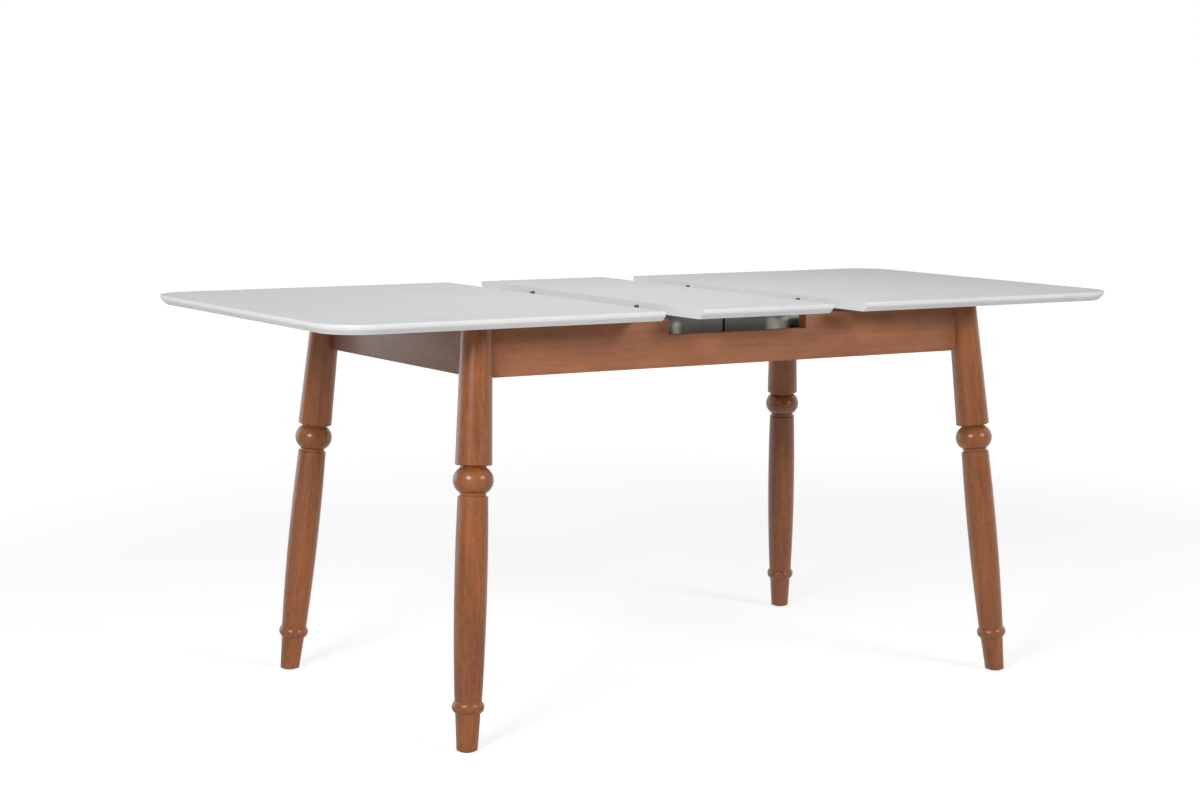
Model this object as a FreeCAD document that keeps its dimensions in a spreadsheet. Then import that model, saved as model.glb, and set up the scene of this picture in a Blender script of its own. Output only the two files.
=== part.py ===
import FreeCAD, Part

import math
import os
import re

import Sketcher
from FreeCAD import Placement, Rotation, Vector

# Extending dining table, drawn open: two sliding tops, one loose leaf raised between them, and an
# apron frame on four turned legs. Millimetres. X runs along the table, +Y to the rear, +Z up, and
# the origin is on the floor under the middle of the table. Every size is written here once.
SIZES = {
    # Boards
    "TableTop": 760.0,
    "BoardThick": 18.0,
    "BoardDeep": 805.0,
    "TopReach": 656.0,
    "LeafReach": 298.0,
    "OpenGap": 80.0,
    "MateGap": 0.3,
    "CornerRound": 78.0,
    "EdgeLand": 7.5,
    "EdgeTuck": 11.5,
    "EdgeBelly": 9.0,
    "EdgeEase": 1.0,
    # Apron frame: the overhangs are those of the closed table
    "SideOverhang": 95.5,
    "EndOverhang": 100.8,
    "ApronGap": 7.0,
    "ApronTall": 88.0,
    "ApronThick": 22.0,
    "LegSeatX": 22.5,
    "LegSeatY": 30.0,
    "ApronEase": 3.0,
    "NotchPlay": 8.0,
    "NotchDeep": 28.6,
    # Legs, turned on a lathe: heights are measured along the leg from the floor
    "SplayX": 55.5,
    "SplayY": 66.9,
    "LegInsetY": 11.4,
    "FootRadius": 18.3,
    "FootRound": 2.5,
    "AnkleRadius": 22.3,
    "RingRadius": 28.75,
    "RingUp": 78.0,
    "RingCurve": 13.0,
    "CalfRadius": 24.2,
    "CalfTopRadius": 27.0,
    "CalfTopUp": 446.0,
    "CalfCurve": 4720.0,
    "NeckRadius": 23.5,
    "BallRadius": 36.0,
    "BallRise": 28.2,
    "BallCurve": 25.9,
    "ThighRise": 54.5,
    "ThighRadius": 32.85,
    "ThighChamfer": 1.4,
    "HeadRadius": 27.6,
    "FootTrim": 5.0,
    "LegGap": 1.0,
    # Glides, corner blocks and leg bolts
    "GlideRadius": 13.0,
    "GlideTall": 2.0,
    "NailRadius": 1.5,
    "NailLong": 12.0,
    "BlockInset": 8.0,
    "BlockStart": 8.0,
    "BlockEnd": 36.0,
    "BoltRadius": 4.0,
    "BoltGap": 0.05,
    "BoltTail": 16.0,
    "WasherRadius": 10.0,
    "WasherThick": 1.6,
    "NutRadius": 7.5,
    "NutThick": 6.5,
    # Cross rails
    "CrossThick": 15.0,
    "CrossWide": 50.0,
    "CrossInner": 220.0,
    "CrossInset": 83.5,
    # Three-member slides
    "RailInset": 52.0,
    "RailDeep": 28.0,
    "RailTall": 38.0,
    "RailWall": 2.0,
    "RailRound": 2.5,
    "RailInner": 2.0,
    "RailEndGap": 5.5,
    "SlideGap": 0.4,
    "BumperThick": 6.0,
    "SlideLong": 320.0,
    "RunnerLong": 290.0,
    "RunnerLip": 2.0,
    "TabLong": 30.0,
    "TabWide": 18.0,
    # Brackets that carry the tops
    "BracketThick": 4.0,
    "BracketLong": 90.0,
    "BracketFoot": 49.0,
    "BracketInset": 12.0,
    "BendInside": 1.0,
    # Leaf lift
    "ShaftOut": 31.0,
    "ShaftBelow": 34.0,
    "ShaftRadius": 6.0,
    "ShaftStub": 3.0,
    "ShaftGap": 0.05,
    "ArmReach": 70.0,
    "ArmRise": 14.0,
    "ArmGap": 3.0,
    "ArmThick": 4.0,
    "ArmHalfTall": 6.0,
    "ArmBoss": 9.0,
    "ArmEye": 8.0,
    "PinRadius": 4.0,
    "PinLong": 11.0,
    "SlotGap": 0.35,
    "SlotPlay": 0.3,
    "SlotTravel": 3.0,
    "LugThick": 5.0,
    "LugWide": 34.0,
    "LugTall": 27.0,
    "LugFoot": 26.0,
    "LugGap": 1.0,
    "BearingWide": 22.0,
    "BearingInset": 2.0,
    "BearingCap": 6.0,
    # Leaf carriers in line with the notches
    "CarrierInset": 26.0,
    "CarrierThick": 2.0,
    "CarrierLow": 3.0,
    "CarrierTall": 42.0,
    "CarrierSplit": 6.0,
    "CarrierReach": 176.0,
    "CarrierFlange": 9.0,
    "PressLong": 67.0,
    "PressRamp": 28.0,
    "PressDeep": 8.0,
    "PressTall": 19.0,
    "PressRound": 30.0,
    "SpacerWide": 16.0,
    "ShoeLong": 25.0,
    "ShoeTall": 13.5,
    "ShoeGap": 1.0,
    # Alignment pins between the boards
    "DowelSpread": 190.0,
    "DowelRadius": 3.0,
    "DowelProud": 8.0,
    "DowelSunk": 14.0,
    "DowelGap": 0.3,
    "BushWall": 1.0,
    "BushDeep": 12.0,
    # Wood screws, pads, and how far a cutter runs past what it cuts
    "ScrewRadius": 2.0,
    "ScrewHead": 4.0,
    "ScrewHeadThick": 2.3,
    "ScrewBite": 11.0,
    "ScrewGap": 0.1,
    "PadGap": 0.3,
    "PadLong": 40.0,
    "PadInset": 1.0,
    "PadSpread": 150.0,
    "CutPast": 1.0,
}

SIDES = (("left", -1), ("right", 1))
ENDS = (("front", -1), ("rear", 1))
CORNERS = tuple((f"{end}_{side}", sx, sy) for end, sy in ENDS for side, sx in SIDES)

# Levels
BOARD_UNDER = "(TableTop - BoardThick)"
APRON_TOP = f"({BOARD_UNDER} - ApronGap)"
APRON_BASE = f"({APRON_TOP} - ApronTall)"
CROSS_TOP = f"({APRON_BASE} + CrossThick)"
RAIL_TOP = f"({CROSS_TOP} + RailTall)"
RAIL_STEP = "(RailWall + SlideGap)"
RUNNER_LOW = f"({CROSS_TOP} + 2 * {RAIL_STEP})"
RUNNER_HIGH = f"({RAIL_TOP} - 2 * {RAIL_STEP})"
FLANGE_UNDER = f"({BOARD_UNDER} - BracketThick)"
SHAFT_UP = f"({BOARD_UNDER} - ShaftBelow)"
PIN_UP = f"({SHAFT_UP} + ArmRise)"
CARRIER_TOP = f"({BOARD_UNDER} - CarrierLow)"
CARRIER_BASE = f"({CARRIER_TOP} - CarrierTall)"
PRESS_TOP = f"({CARRIER_BASE} + PressTall)"

# Distances from the middle of the table along X
LEAF_HALF = "(LeafReach / 2)"
TOP_INNER = f"({LEAF_HALF} + OpenGap)"
NOTCH_HALF = f"({LEAF_HALF} + NotchPlay)"
END_OUT = "(TopReach + MateGap - EndOverhang)"
END_IN = f"({END_OUT} - ApronThick)"
LONG_END = f"({END_OUT} - LegSeatX)"
CROSS_OUTER = f"({END_IN} - CrossInset)"
RAIL_OUTER = f"({END_IN} - RailEndGap)"
SLIDE_END = f"({RAIL_OUTER} - BumperThick - MateGap)"
BRACKET_END = f"({SLIDE_END} - BracketInset)"
SHAFT_OUT = f"({LEAF_HALF} + ShaftOut)"
SLOT_NEAR = f"({SHAFT_OUT} - ArmReach - SlotPlay)"
SLOT_FAR = f"({SHAFT_OUT} - ArmReach + SlotTravel + SlotPlay)"
LUG_MIDDLE = f"({SHAFT_OUT} - ArmReach + SlotTravel / 2)"
PRESS_START = "(CarrierReach - PressLong)"
PRESS_FLAT = f"({PRESS_START} + PressRamp)"
FOOT_X = f"({END_OUT} + SplayX)"

# Distances from the middle of the table along Y
DEEP_HALF = "(BoardDeep / 2)"
LONG_OUT = f"({DEEP_HALF} - SideOverhang)"
LONG_IN = f"({LONG_OUT} - ApronThick)"
SHORT_END = f"({LONG_OUT} - LegSeatY)"
RAIL_FACE = f"({LONG_IN} - RailInset)"
RAIL_LIP = f"({RAIL_FACE} - RailDeep)"
SLIDE_FACE = f"({RAIL_FACE} - {RAIL_STEP})"
RUNNER_FACE = f"({SLIDE_FACE} - {RAIL_STEP})"
RUNNER_LIP = f"({RAIL_LIP} - RunnerLip)"
BRACKET_FACE = f"({RUNNER_LIP} - BracketThick)"
TAB_MIDDLE = f"({RAIL_FACE} + TabWide / 2)"
ARM_FACE = f"({RAIL_FACE} + ArmGap)"
SHAFT_HALF = f"({ARM_FACE} + ArmThick + ShaftStub)"
LUG_FACE = f"({ARM_FACE} + ArmThick + LugGap)"
CARRIER_FACE = f"({LONG_IN} - CarrierInset)"
CARRIER_BACK = f"({CARRIER_FACE} - CarrierThick)"
CARRIER_EDGE = f"({CARRIER_BACK} - CarrierFlange)"
PRESS_FACE = f"({CARRIER_FACE} + PressDeep)"
PRESS_BACK = f"({PRESS_FACE} - CarrierThick)"
HEAD_Y = f"({LONG_OUT} - LegInsetY)"
FOOT_Y = f"({HEAD_Y} + SplayY)"

# Bores and shares
SOCKET_RADIUS = "(DowelRadius + DowelGap + BushWall)"
CARRIER_BITE = "(CarrierThick + CarrierLow + ScrewBite - BracketThick)"
WIDE_CUT = "(4 * BallRadius)"
QUARTERS = ("1 / 4", "3 / 4")
SPACER_SHARES = ("1 / 8", "3 / 8", "3 / 4")

doc = FreeCAD.newDocument("ExtendingTable")
sheet = doc.addObject("Spreadsheet::Sheet", "Sizes")
for row, (alias, number) in enumerate(SIZES.items(), start=1):
    sheet.set(f"A{row}", alias)
    sheet.set(f"B{row}", str(number))
    sheet.setAlias(f"B{row}", alias)
doc.recompute()

PARTS = []


# Helpers
def linked(text):
    """Turn size names in an expression into references to the sheet."""
    return re.sub(r"[A-Z][A-Za-z]+", lambda found: "Sizes." + found.group(0), text)


def worth(text):
    """Work out an expression of sizes as a plain number."""
    return float(sheet.evalExpression(linked(text)))


def bind(thing, **properties):
    """Bind properties to expressions, with double underscores standing for dots."""
    for name, text in properties.items():
        thing.setExpression(name.replace("__", "."), linked(text))


def place(thing, spot, turn=None):
    """Turn an object about the origin, then bind the place of its origin."""
    if turn is not None:
        thing.Placement = Placement(Vector(), turn)
    bind(thing, Placement__Base__x=spot[0], Placement__Base__y=spot[1], Placement__Base__z=spot[2])
    return thing


def keep(thing, label):
    """Name a finished sub-part and put it on the list of pieces to export."""
    thing.Label = label
    PARTS.append(thing)
    return thing


def signed(sign, text):
    """Return an expression or its negative."""
    return text if sign > 0 else f"-({text})"


def mirrored(sign, inner, outer):
    """Return the low and high ends of a span that is given for the positive side."""
    if sign > 0:
        return inner, outer
    return f"-({outer})", f"-({inner})"


def about(middle, width):
    """Return the low and high ends of a span about its middle."""
    return f"({middle}) - ({width}) / 2", f"({middle}) + ({width}) / 2"


def near(first, second, slack=0.01):
    """Say whether two lengths are the same."""
    return abs(first - second) < slack


def half_turn(sign):
    """Return the turn about Z that brings a piece drawn for the positive side to a side."""
    return Rotation(Vector(0, 0, 1), 0 if sign > 0 else 180)


def slab(name, x, y, z):
    """Make a box from its low and high ends along each axis."""
    box = doc.addObject("Part::Box", name)
    for size, (low, high) in (("Length", x), ("Width", y), ("Height", z)):
        bind(box, **{size: f"({high}) - ({low})"})
    return place(box, (x[0], y[0], z[0]))


AXIS_TURN = {
    "x": Rotation(Vector(0, 1, 0), 90),
    "y": Rotation(Vector(1, 0, 0), -90),
    "z": Rotation(),
}


def rod(name, radius, span, spot, axis="z"):
    """Make a cylinder that starts at a spot and runs along an axis or a direction."""
    cylinder = doc.addObject("Part::Cylinder", name)
    bind(cylinder, Radius=radius, Height=span)
    turn = AXIS_TURN[axis] if isinstance(axis, str) else Rotation(Vector(0, 0, 1), axis)
    return place(cylinder, spot, turn)


def fuse(name, pieces):
    """Join overlapping shapes into one solid."""
    joined = doc.addObject("Part::MultiFuse", name)
    joined.Shapes = pieces
    return joined


def group(name, pieces):
    """Keep alike pieces together as separate solids."""
    bundle = doc.addObject("Part::Compound", name)
    bundle.Links = pieces
    return bundle


def cut(name, base, tools):
    """Take one or more shapes away from a base."""
    result = doc.addObject("Part::Cut", name)
    result.Base = base
    result.Tool = tools[0] if len(tools) == 1 else group(name + "_tools", tools)
    return result


def sketch_on(body, name, role):
    """Put an empty sketch on one of a body's own planes."""
    sketch = body.newObject("Sketcher::SketchObject", name)
    plane = [item for item in body.Origin.OriginFeatures if item.Role == role][0]
    sketch.AttachmentSupport = [(plane, "")]
    sketch.MapMode = "FlatFace"
    return sketch


def fix(sketch, kind, geometry, text, point=None):
    """Add a driving constraint whose value is an expression of sizes."""
    value = worth(text)
    if point is None:
        constraint = Sketcher.Constraint(kind, geometry, value)
    else:
        constraint = Sketcher.Constraint(kind, -1, 1, geometry, point, value)
    index = sketch.addConstraint(constraint)
    sketch.setExpression(f"Constraints[{index}]", linked(text))


def crown(first, second, radius):
    """Find the middle of an arc that swells to the right of the line between two points."""
    chord = second - first
    half = chord.Length / 2
    swell = radius - math.sqrt(radius ** 2 - half ** 2)
    return (first + second) * 0.5 + Vector(chord.y, -chord.x, 0).normalize() * swell


def outline(body, name, role, corners, arcs=None):
    """Draw a closed outline, each corner held by its two distances from the origin.

    arcs gives the radius of each side that is an arc, by the number of the corner it starts from.
    """
    arcs = arcs or {}
    sketch = sketch_on(body, name, role)
    points = [Vector(worth(across), worth(up), 0) for across, up in corners]
    after = points[1:] + points[:1]
    starts = []
    for index, (first, second) in enumerate(zip(points, after)):
        if index in arcs:
            side = Part.Arc(first, crown(first, second, worth(arcs[index])), second)
        else:
            side = Part.LineSegment(first, second)
        sketch.addGeometry(side, False)
        # An arc that is drawn clockwise is stored with its ends swapped
        starts.append(1 if sketch.Geometry[index].StartPoint.isEqual(first, 0.001) else 2)
    for index, start in enumerate(starts):
        following = (index + 1) % len(starts)
        pair = (index, 3 - start, following, starts[following])
        sketch.addConstraint(Sketcher.Constraint("Coincident", *pair))
    for index, (across, up) in enumerate(corners):
        fix(sketch, "DistanceX", index, across, starts[index])
        fix(sketch, "DistanceY", index, up, starts[index])
    for index, radius in arcs.items():
        fix(sketch, "Radius", index, radius)
    return sketch


def rectangle(body, name, role, x, y):
    """Draw a rectangle from its low and high ends."""
    return outline(body, name, role, ((x[0], y[0]), (x[1], y[0]), (x[1], y[1]), (x[0], y[1])))


def pad(body, sketch, length, both_ways=False):
    """Push a sketch into a solid, and work it out so that its edges can be picked."""
    solid = body.newObject("PartDesign::Pad", body.Name + "_pad")
    solid.Profile = sketch
    solid.Midplane = both_ways
    bind(solid, Length=length)
    doc.recompute()
    return solid


def edges_where(shape, test):
    """Name the edges of a shape whose midpoints pass a test."""
    names = []
    for index, edge in enumerate(shape.Edges, start=1):
        if test(edge.valueAt((edge.FirstParameter + edge.LastParameter) / 2)):
            names.append(f"Edge{index}")
    return names


def dress(body, kind, base, names, **sizes):
    """Add a fillet or chamfer on named edges of the feature before it."""
    feature = body.newObject("PartDesign::" + kind, f"{body.Name}_{kind}_{len(body.Group)}")
    feature.Base = (base, names)
    if "Size2" in sizes:
        feature.ChamferType = "Two distances"
        feature.FlipDirection = True
    bind(feature, **sizes)
    doc.recompute()
    return feature


def screws(spots, direction, bite="ScrewBite"):
    """Make wood screws, each with its head seated at a spot and its shank up (+1) or down (-1)."""
    made = []
    for x, y, seat in spots:
        head_low = f"{seat} - ScrewHeadThick" if direction > 0 else seat
        shank_low = seat if direction > 0 else f"{seat} - {bite}"
        head = rod("screw_head", "ScrewHead", "ScrewHeadThick", (x, y, head_low))
        shank = rod("screw_shank", "ScrewRadius", bite, (x, y, shank_low))
        made.append(fuse("screw", [head, shank]))
    return made


def pilot_holes(spots, direction, bite="ScrewBite"):
    """Make the holes that the same screws go into."""
    made = []
    for x, y, seat in spots:
        low = f"{seat} - ScrewGap" if direction > 0 else f"{seat} - {bite} - ScrewGap"
        made.append(rod("pilot", "ScrewRadius + ScrewGap", f"{bite} + 2 * ScrewGap", (x, y, low)))
    return made


# Where the screws of the brackets, lift lugs, carriers and rail tabs go
def bracket_spots(end, seat, sides=ENDS):
    """Place the four screws of each bracket, whose outer end lies at a distance along X."""
    spots = []
    for _, sy in sides:
        for along in QUARTERS:
            for across in QUARTERS:
                y = signed(sy, f"{BRACKET_FACE} - BracketFoot * {across}")
                spots.append((f"{end} - BracketLong * {along}", y, seat))
    return spots


def lug_spots(sx, sy, seat):
    """Place the two screws of a lift lug."""
    y = signed(sy, f"{LUG_FACE} - LugFoot / 2")
    return [(f"{signed(sx, LUG_MIDDLE)} + {shift}", y, seat) for shift in ("-LugWide / 4", "LugWide / 4")]


def carrier_spots(sx, sy, seat):
    """Place the screws that go up through a carrier's flange and its spacers."""
    y = signed(sy, f"{CARRIER_BACK} - (CarrierFlange + BendInside) / 2")
    return [(signed(sx, f"CarrierReach * {share}"), y, seat) for share in SPACER_SHARES]


def tab_spots(sx, sy):
    """Place the screws of one rail's two tabs."""
    seat = f"{CROSS_TOP} + RailWall"
    return [(signed(sx, middle), signed(sy, TAB_MIDDLE), seat) for middle in ("CrossInner", CROSS_OUTER)]


def pin_hole(x_face, sy):
    """Bore for a pin that stands out of an edge towards -X, in a board's own frame."""
    spot = (f"{x_face} - CutPast", signed(sy, "DowelSpread"), "BoardThick / 2")
    return rod("pin_hole", "DowelRadius + ScrewGap", "DowelSunk + CutPast + ScrewGap", spot, "x")


# Boards
def board_edges(body, solid, is_free):
    """Tuck in, round and ease the free edges of a board, the same way on every board."""
    thick = worth("BoardThick")
    land = worth("BoardThick - EdgeLand")
    under = edges_where(solid.Shape, lambda p: near(p.z, 0) and is_free(p))
    tucked = dress(body, "Chamfer", solid, under, Size="EdgeTuck", Size2="BoardThick - EdgeLand")
    rim = edges_where(tucked.Shape, lambda p: near(p.z, land) and is_free(p))
    rounded = dress(body, "Fillet", tucked, rim, Radius="EdgeBelly")
    top = edges_where(rounded.Shape, lambda p: near(p.z, thick) and is_free(p))
    body.Tip = dress(body, "Fillet", rounded, top, Radius="EdgeEase")


def top_board(side, sx):
    """Make a top, drawn from its inner edge outwards with its underside at zero."""
    body = doc.addObject("PartDesign::Body", f"{side}_board")
    plan = rectangle(body, f"{side}_plan", "XY_Plane", ("0", "TopReach"), (f"-{DEEP_HALF}", DEEP_HALF))
    solid = pad(body, plan, "BoardThick")
    reach = worth("TopReach")
    half = worth(DEEP_HALF)
    middle = worth("BoardThick / 2")
    upright = edges_where(
        solid.Shape, lambda p: near(p.x, reach) and near(abs(p.y), half) and near(p.z, middle))
    rounded = dress(body, "Fillet", solid, upright, Radius="CornerRound")
    board_edges(body, rounded, lambda p: not near(p.x, 0))
    holes = pilot_holes(bracket_spots(f"{BRACKET_END} - {TOP_INNER}", "-BracketThick"), 1)
    for _, sy in ENDS:
        if side == "right":
            holes.append(pin_hole("0", sy))
        else:
            spot = ("-CutPast", signed(sy, "DowelSpread"), "BoardThick / 2")
            deep = "BushDeep + CutPast + ScrewGap"
            holes.append(rod("socket_hole", SOCKET_RADIUS, deep, spot, "x"))
    board = cut(f"{side}_board_cut", body, holes)
    place(board, (signed(sx, TOP_INNER), "0", BOARD_UNDER), half_turn(sx))
    keep(board, f"{side}_top_board")


def leaf_board():
    """Make the leaf, drawn about its middle with its underside at zero."""
    body = doc.addObject("PartDesign::Body", "leaf_body")
    across = (f"-{LEAF_HALF}", LEAF_HALF)
    plan = rectangle(body, "leaf_plan", "XY_Plane", across, (f"-{DEEP_HALF}", DEEP_HALF))
    solid = pad(body, plan, "BoardThick")
    half = worth(DEEP_HALF)
    board_edges(body, solid, lambda p: abs(p.y) > half - worth("EdgeTuck"))
    holes = []
    for _, sx, sy in CORNERS:
        holes += pilot_holes(lug_spots(sx, sy, "-BracketThick"), 1)
        holes += pilot_holes(carrier_spots(sx, sy, "-CarrierThick - CarrierLow"), 1, CARRIER_BITE)
    for _, sy in ENDS:
        holes.append(pin_hole(f"-{LEAF_HALF}", sy))
        spot = (f"{LEAF_HALF} - BushDeep - ScrewGap", signed(sy, "DowelSpread"), "BoardThick / 2")
        holes.append(rod("socket_hole", SOCKET_RADIUS, "BushDeep + CutPast + ScrewGap", spot, "x"))
    board = cut("leaf_board_cut", body, holes)
    keep(place(board, ("0", "0", BOARD_UNDER)), "leaf_board")


def alignment_pins(name, x_face):
    """Make the steel pins that stand out of a board's edge towards -X."""
    level = f"({BOARD_UNDER} + BoardThick / 2)"
    made = []
    for _, sy in ENDS:
        spot = (f"{x_face} - DowelProud", signed(sy, "DowelSpread"), level)
        made.append(rod("alignment_pin", "DowelRadius", "DowelProud + DowelSunk", spot, "x"))
    keep(group(name, made), name)


def sockets(name, x_face):
    """Make the lined sockets that take the pins, set flush in an edge that faces +X."""
    level = f"({BOARD_UNDER} + BoardThick / 2)"
    made = []
    for _, sy in ENDS:
        y = signed(sy, "DowelSpread")
        back = (f"{x_face} - BushDeep", y, level)
        outer = rod("socket", f"{SOCKET_RADIUS} - ScrewGap / 2", "BushDeep", back, "x")
        start = (f"{x_face} - BushDeep - CutPast", y, level)
        bore = rod("socket_bore", "DowelRadius + DowelGap", "BushDeep + 2 * CutPast", start, "x")
        made.append(cut("socket_cut", outer, [bore]))
    keep(group(name, made), name)


for side, sx in SIDES:
    top_board(side, sx)
leaf_board()
alignment_pins("right_top_pins", TOP_INNER)
alignment_pins("leaf_pins", f"-{LEAF_HALF}")
sockets("left_top_sockets", f"-{TOP_INNER}")
sockets("leaf_sockets", LEAF_HALF)


# Leg bolts run level along the diagonal of each corner, through the middle of the leaning leg
def leg_axis(level):
    """Give the middle of the leg at a level, for the corner with positive X and Y."""
    share = f"(({level}) / {BOARD_UNDER})"
    return f"({FOOT_X} - SplayX * {share})", f"({FOOT_Y} - SplayY * {share})"


BLOCK_TALL = "(ApronTall - 2 * BlockInset)"
BLOCK_BASE = f"({APRON_BASE} + BlockInset)"
BOLT_LEVELS = tuple(f"({BLOCK_BASE} + {BLOCK_TALL} * {share})" for share in QUARTERS)


def bolt_run(level):
    """Measure along a leg bolt, from the middle of the leg to the block's inner face."""
    x, y = leg_axis(level)
    return f"(BlockEnd - ({END_IN} - {x} + {LONG_IN} - {y}) / sqrt(2))"


def on_bolt(sx, sy, level, along):
    """Give the point that lies a distance along a leg bolt."""
    x, y = leg_axis(level)
    return signed(sx, f"{x} - ({along}) / sqrt(2)"), signed(sy, f"{y} - ({along}) / sqrt(2)"), level


def bolt_rod(name, sx, sy, level, radius, start, span):
    """Make a cylinder on the line of a leg bolt."""
    return rod(name, radius, span, on_bolt(sx, sy, level, start), Vector(-sx, -sy, 0))


# Aprons
def long_apron(end, sy):
    """Make a front or rear apron, with the notch that the leaf sinks into."""
    body = doc.addObject("PartDesign::Body", f"{end}_apron_body")
    notch_low = f"{APRON_TOP} - NotchDeep"
    corners = (
        (f"-{LONG_END}", APRON_BASE), (LONG_END, APRON_BASE), (LONG_END, APRON_TOP),
        (NOTCH_HALF, APRON_TOP), (NOTCH_HALF, notch_low),
        (f"-{NOTCH_HALF}", notch_low), (f"-{NOTCH_HALF}", APRON_TOP), (f"-{LONG_END}", APRON_TOP))
    solid = pad(body, outline(body, f"{end}_apron_face", "XZ_Plane", corners), "ApronThick", both_ways=True)
    low = worth(APRON_BASE)
    wide = worth(LONG_END)
    ends = edges_where(solid.Shape, lambda p: near(p.z, low) and near(abs(p.x), wide) and near(p.y, 0))
    body.Tip = dress(body, "Fillet", solid, ends, Radius="ApronEase")
    place(body, ("0", signed(sy, f"{LONG_OUT} - ApronThick / 2"), "0"))
    keep(body, f"{end}_apron")


def end_apron(side, sx):
    """Make an end apron, grooved where the leg bolts pass its ends."""
    body = doc.addObject("PartDesign::Body", f"{side}_end_body")
    across = (f"-{SHORT_END}", SHORT_END)
    face = rectangle(body, f"{side}_end_face", "YZ_Plane", across, (APRON_BASE, APRON_TOP))
    solid = pad(body, face, "ApronThick", both_ways=True)
    low = worth(APRON_BASE)
    wide = worth(SHORT_END)
    ends = edges_where(solid.Shape, lambda p: near(p.z, low) and near(abs(p.y), wide) and near(p.x, 0))
    body.Tip = dress(body, "Fillet", solid, ends, Radius="ApronEase")
    place(body, (signed(sx, f"{END_OUT} - ApronThick / 2"), "0", "0"))
    grooves = []
    for _, sy in ENDS:
        for level in BOLT_LEVELS:
            grooves.append(bolt_rod("groove", sx, sy, level, "BoltRadius + MateGap", "0", WIDE_CUT))
    keep(cut(f"{side}_end_cut", body, grooves), f"{side}_end_apron")


for end, sy in ENDS:
    long_apron(end, sy)
for side, sx in SIDES:
    end_apron(side, sx)


# Legs: one turning, leaned outwards, with flats for the aprons and a bore for each bolt
def arc_rise(at_radius, crest_radius, curve):
    """Measure along the leg from the crest of a bead to where it meets a smaller radius."""
    return f"sqrt({curve}^2 - ({at_radius} - {crest_radius} + {curve})^2)"


LEG_CORNERS = (
    ("0", "-FootTrim"),
    ("FootRadius", "-FootTrim"),
    ("AnkleRadius", f"RingUp - {arc_rise('AnkleRadius', 'RingRadius', 'RingCurve')}"),
    ("CalfRadius", f"RingUp + {arc_rise('CalfRadius', 'RingRadius', 'RingCurve')}"),
    ("CalfTopRadius", "CalfTopUp"),
    ("NeckRadius", "CalfTopUp + ThighChamfer"),
    ("NeckRadius", f"CalfTopUp + BallRise - {arc_rise('NeckRadius', 'BallRadius', 'BallCurve')}"),
    ("NeckRadius", f"CalfTopUp + BallRise + {arc_rise('NeckRadius', 'BallRadius', 'BallCurve')}"),
    ("NeckRadius", "CalfTopUp + ThighRise"),
    ("ThighRadius - ThighChamfer", "CalfTopUp + ThighRise"),
    ("ThighRadius", "CalfTopUp + ThighRise + ThighChamfer"),
    ("HeadRadius", "TableTop"),
    ("0", "TableTop"),
)
LEG_ARCS = {2: "RingCurve", 3: "CalfCurve", 6: "BallCurve"}


def turned_leg(name):
    """Turn the leg's profile about its own axis, foot at zero."""
    body = doc.addObject("PartDesign::Body", name)
    sketch = outline(body, name + "_profile", "XZ_Plane", LEG_CORNERS, LEG_ARCS)
    turning = body.newObject("PartDesign::Revolution", name + "_turning")
    turning.Profile = sketch
    turning.ReferenceAxis = (sketch, ["V_Axis"])
    turning.Angle = 360
    return body


def leg(corner, sx, sy):
    """Lean a turned leg, saw it level at both ends, seat the aprons in it and round its foot."""
    name = f"{corner}_leg"
    body = turned_leg(name + "_body")
    lean = Vector(-sx * worth("SplayX"), -sy * worth("SplayY"), worth(BOARD_UNDER))
    foot = (signed(sx, FOOT_X), signed(sy, FOOT_Y), "0")
    place(body, foot, Rotation(Vector(0, 0, 1), lean))
    above = f"({BOARD_UNDER} + {WIDE_CUT})"
    tools = [
        slab(name + "_floor", about(foot[0], WIDE_CUT), about(foot[1], WIDE_CUT),
             ("-BallRadius", "GlideTall")),
        slab(name + "_head", about(signed(sx, END_OUT), WIDE_CUT), about(signed(sy, HEAD_Y), WIDE_CUT),
             (f"{BOARD_UNDER} - LegGap", above)),
        slab(name + "_long_seat", mirrored(sx, f"{LONG_END} - BallRadius", LONG_END),
             mirrored(sy, LONG_IN, LONG_OUT), (APRON_BASE, above)),
        slab(name + "_end_seat", mirrored(sx, END_IN, END_OUT),
             mirrored(sy, f"{SHORT_END} - BallRadius", SHORT_END), (APRON_BASE, above)),
        rod(name + "_nail_hole", "NailRadius + ScrewGap", "GlideTall + NailLong + ScrewGap", foot),
    ]
    for level in BOLT_LEVELS:
        wide = "BoltRadius + BoltGap"
        tools.append(bolt_rod(name + "_bore", sx, sy, level, wide, "-MateGap", "2 * BallRadius"))
    sawn = cut(name + "_cut", body, tools)
    doc.recompute()
    floor = worth("GlideTall")
    middle = Vector(worth(foot[0]), worth(foot[1]), floor)
    rim = edges_where(
        sawn.Shape, lambda p: near(p.z, floor) and p.distanceToPoint(middle) > worth("GlideRadius"))
    rounded = doc.addObject("Part::Fillet", name + "_rounded")
    rounded.Base = sawn
    rounded.Edges = [(int(edge[len("Edge"):]), worth("FootRound"), worth("FootRound")) for edge in rim]
    keep(rounded, name)


# Each corner block is drawn in the corner with positive X and Y, and turned into its own
BLOCK_TURN = {(1, 1): 0, (-1, -1): 180, (1, -1): -90, (-1, 1): 90}


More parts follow.
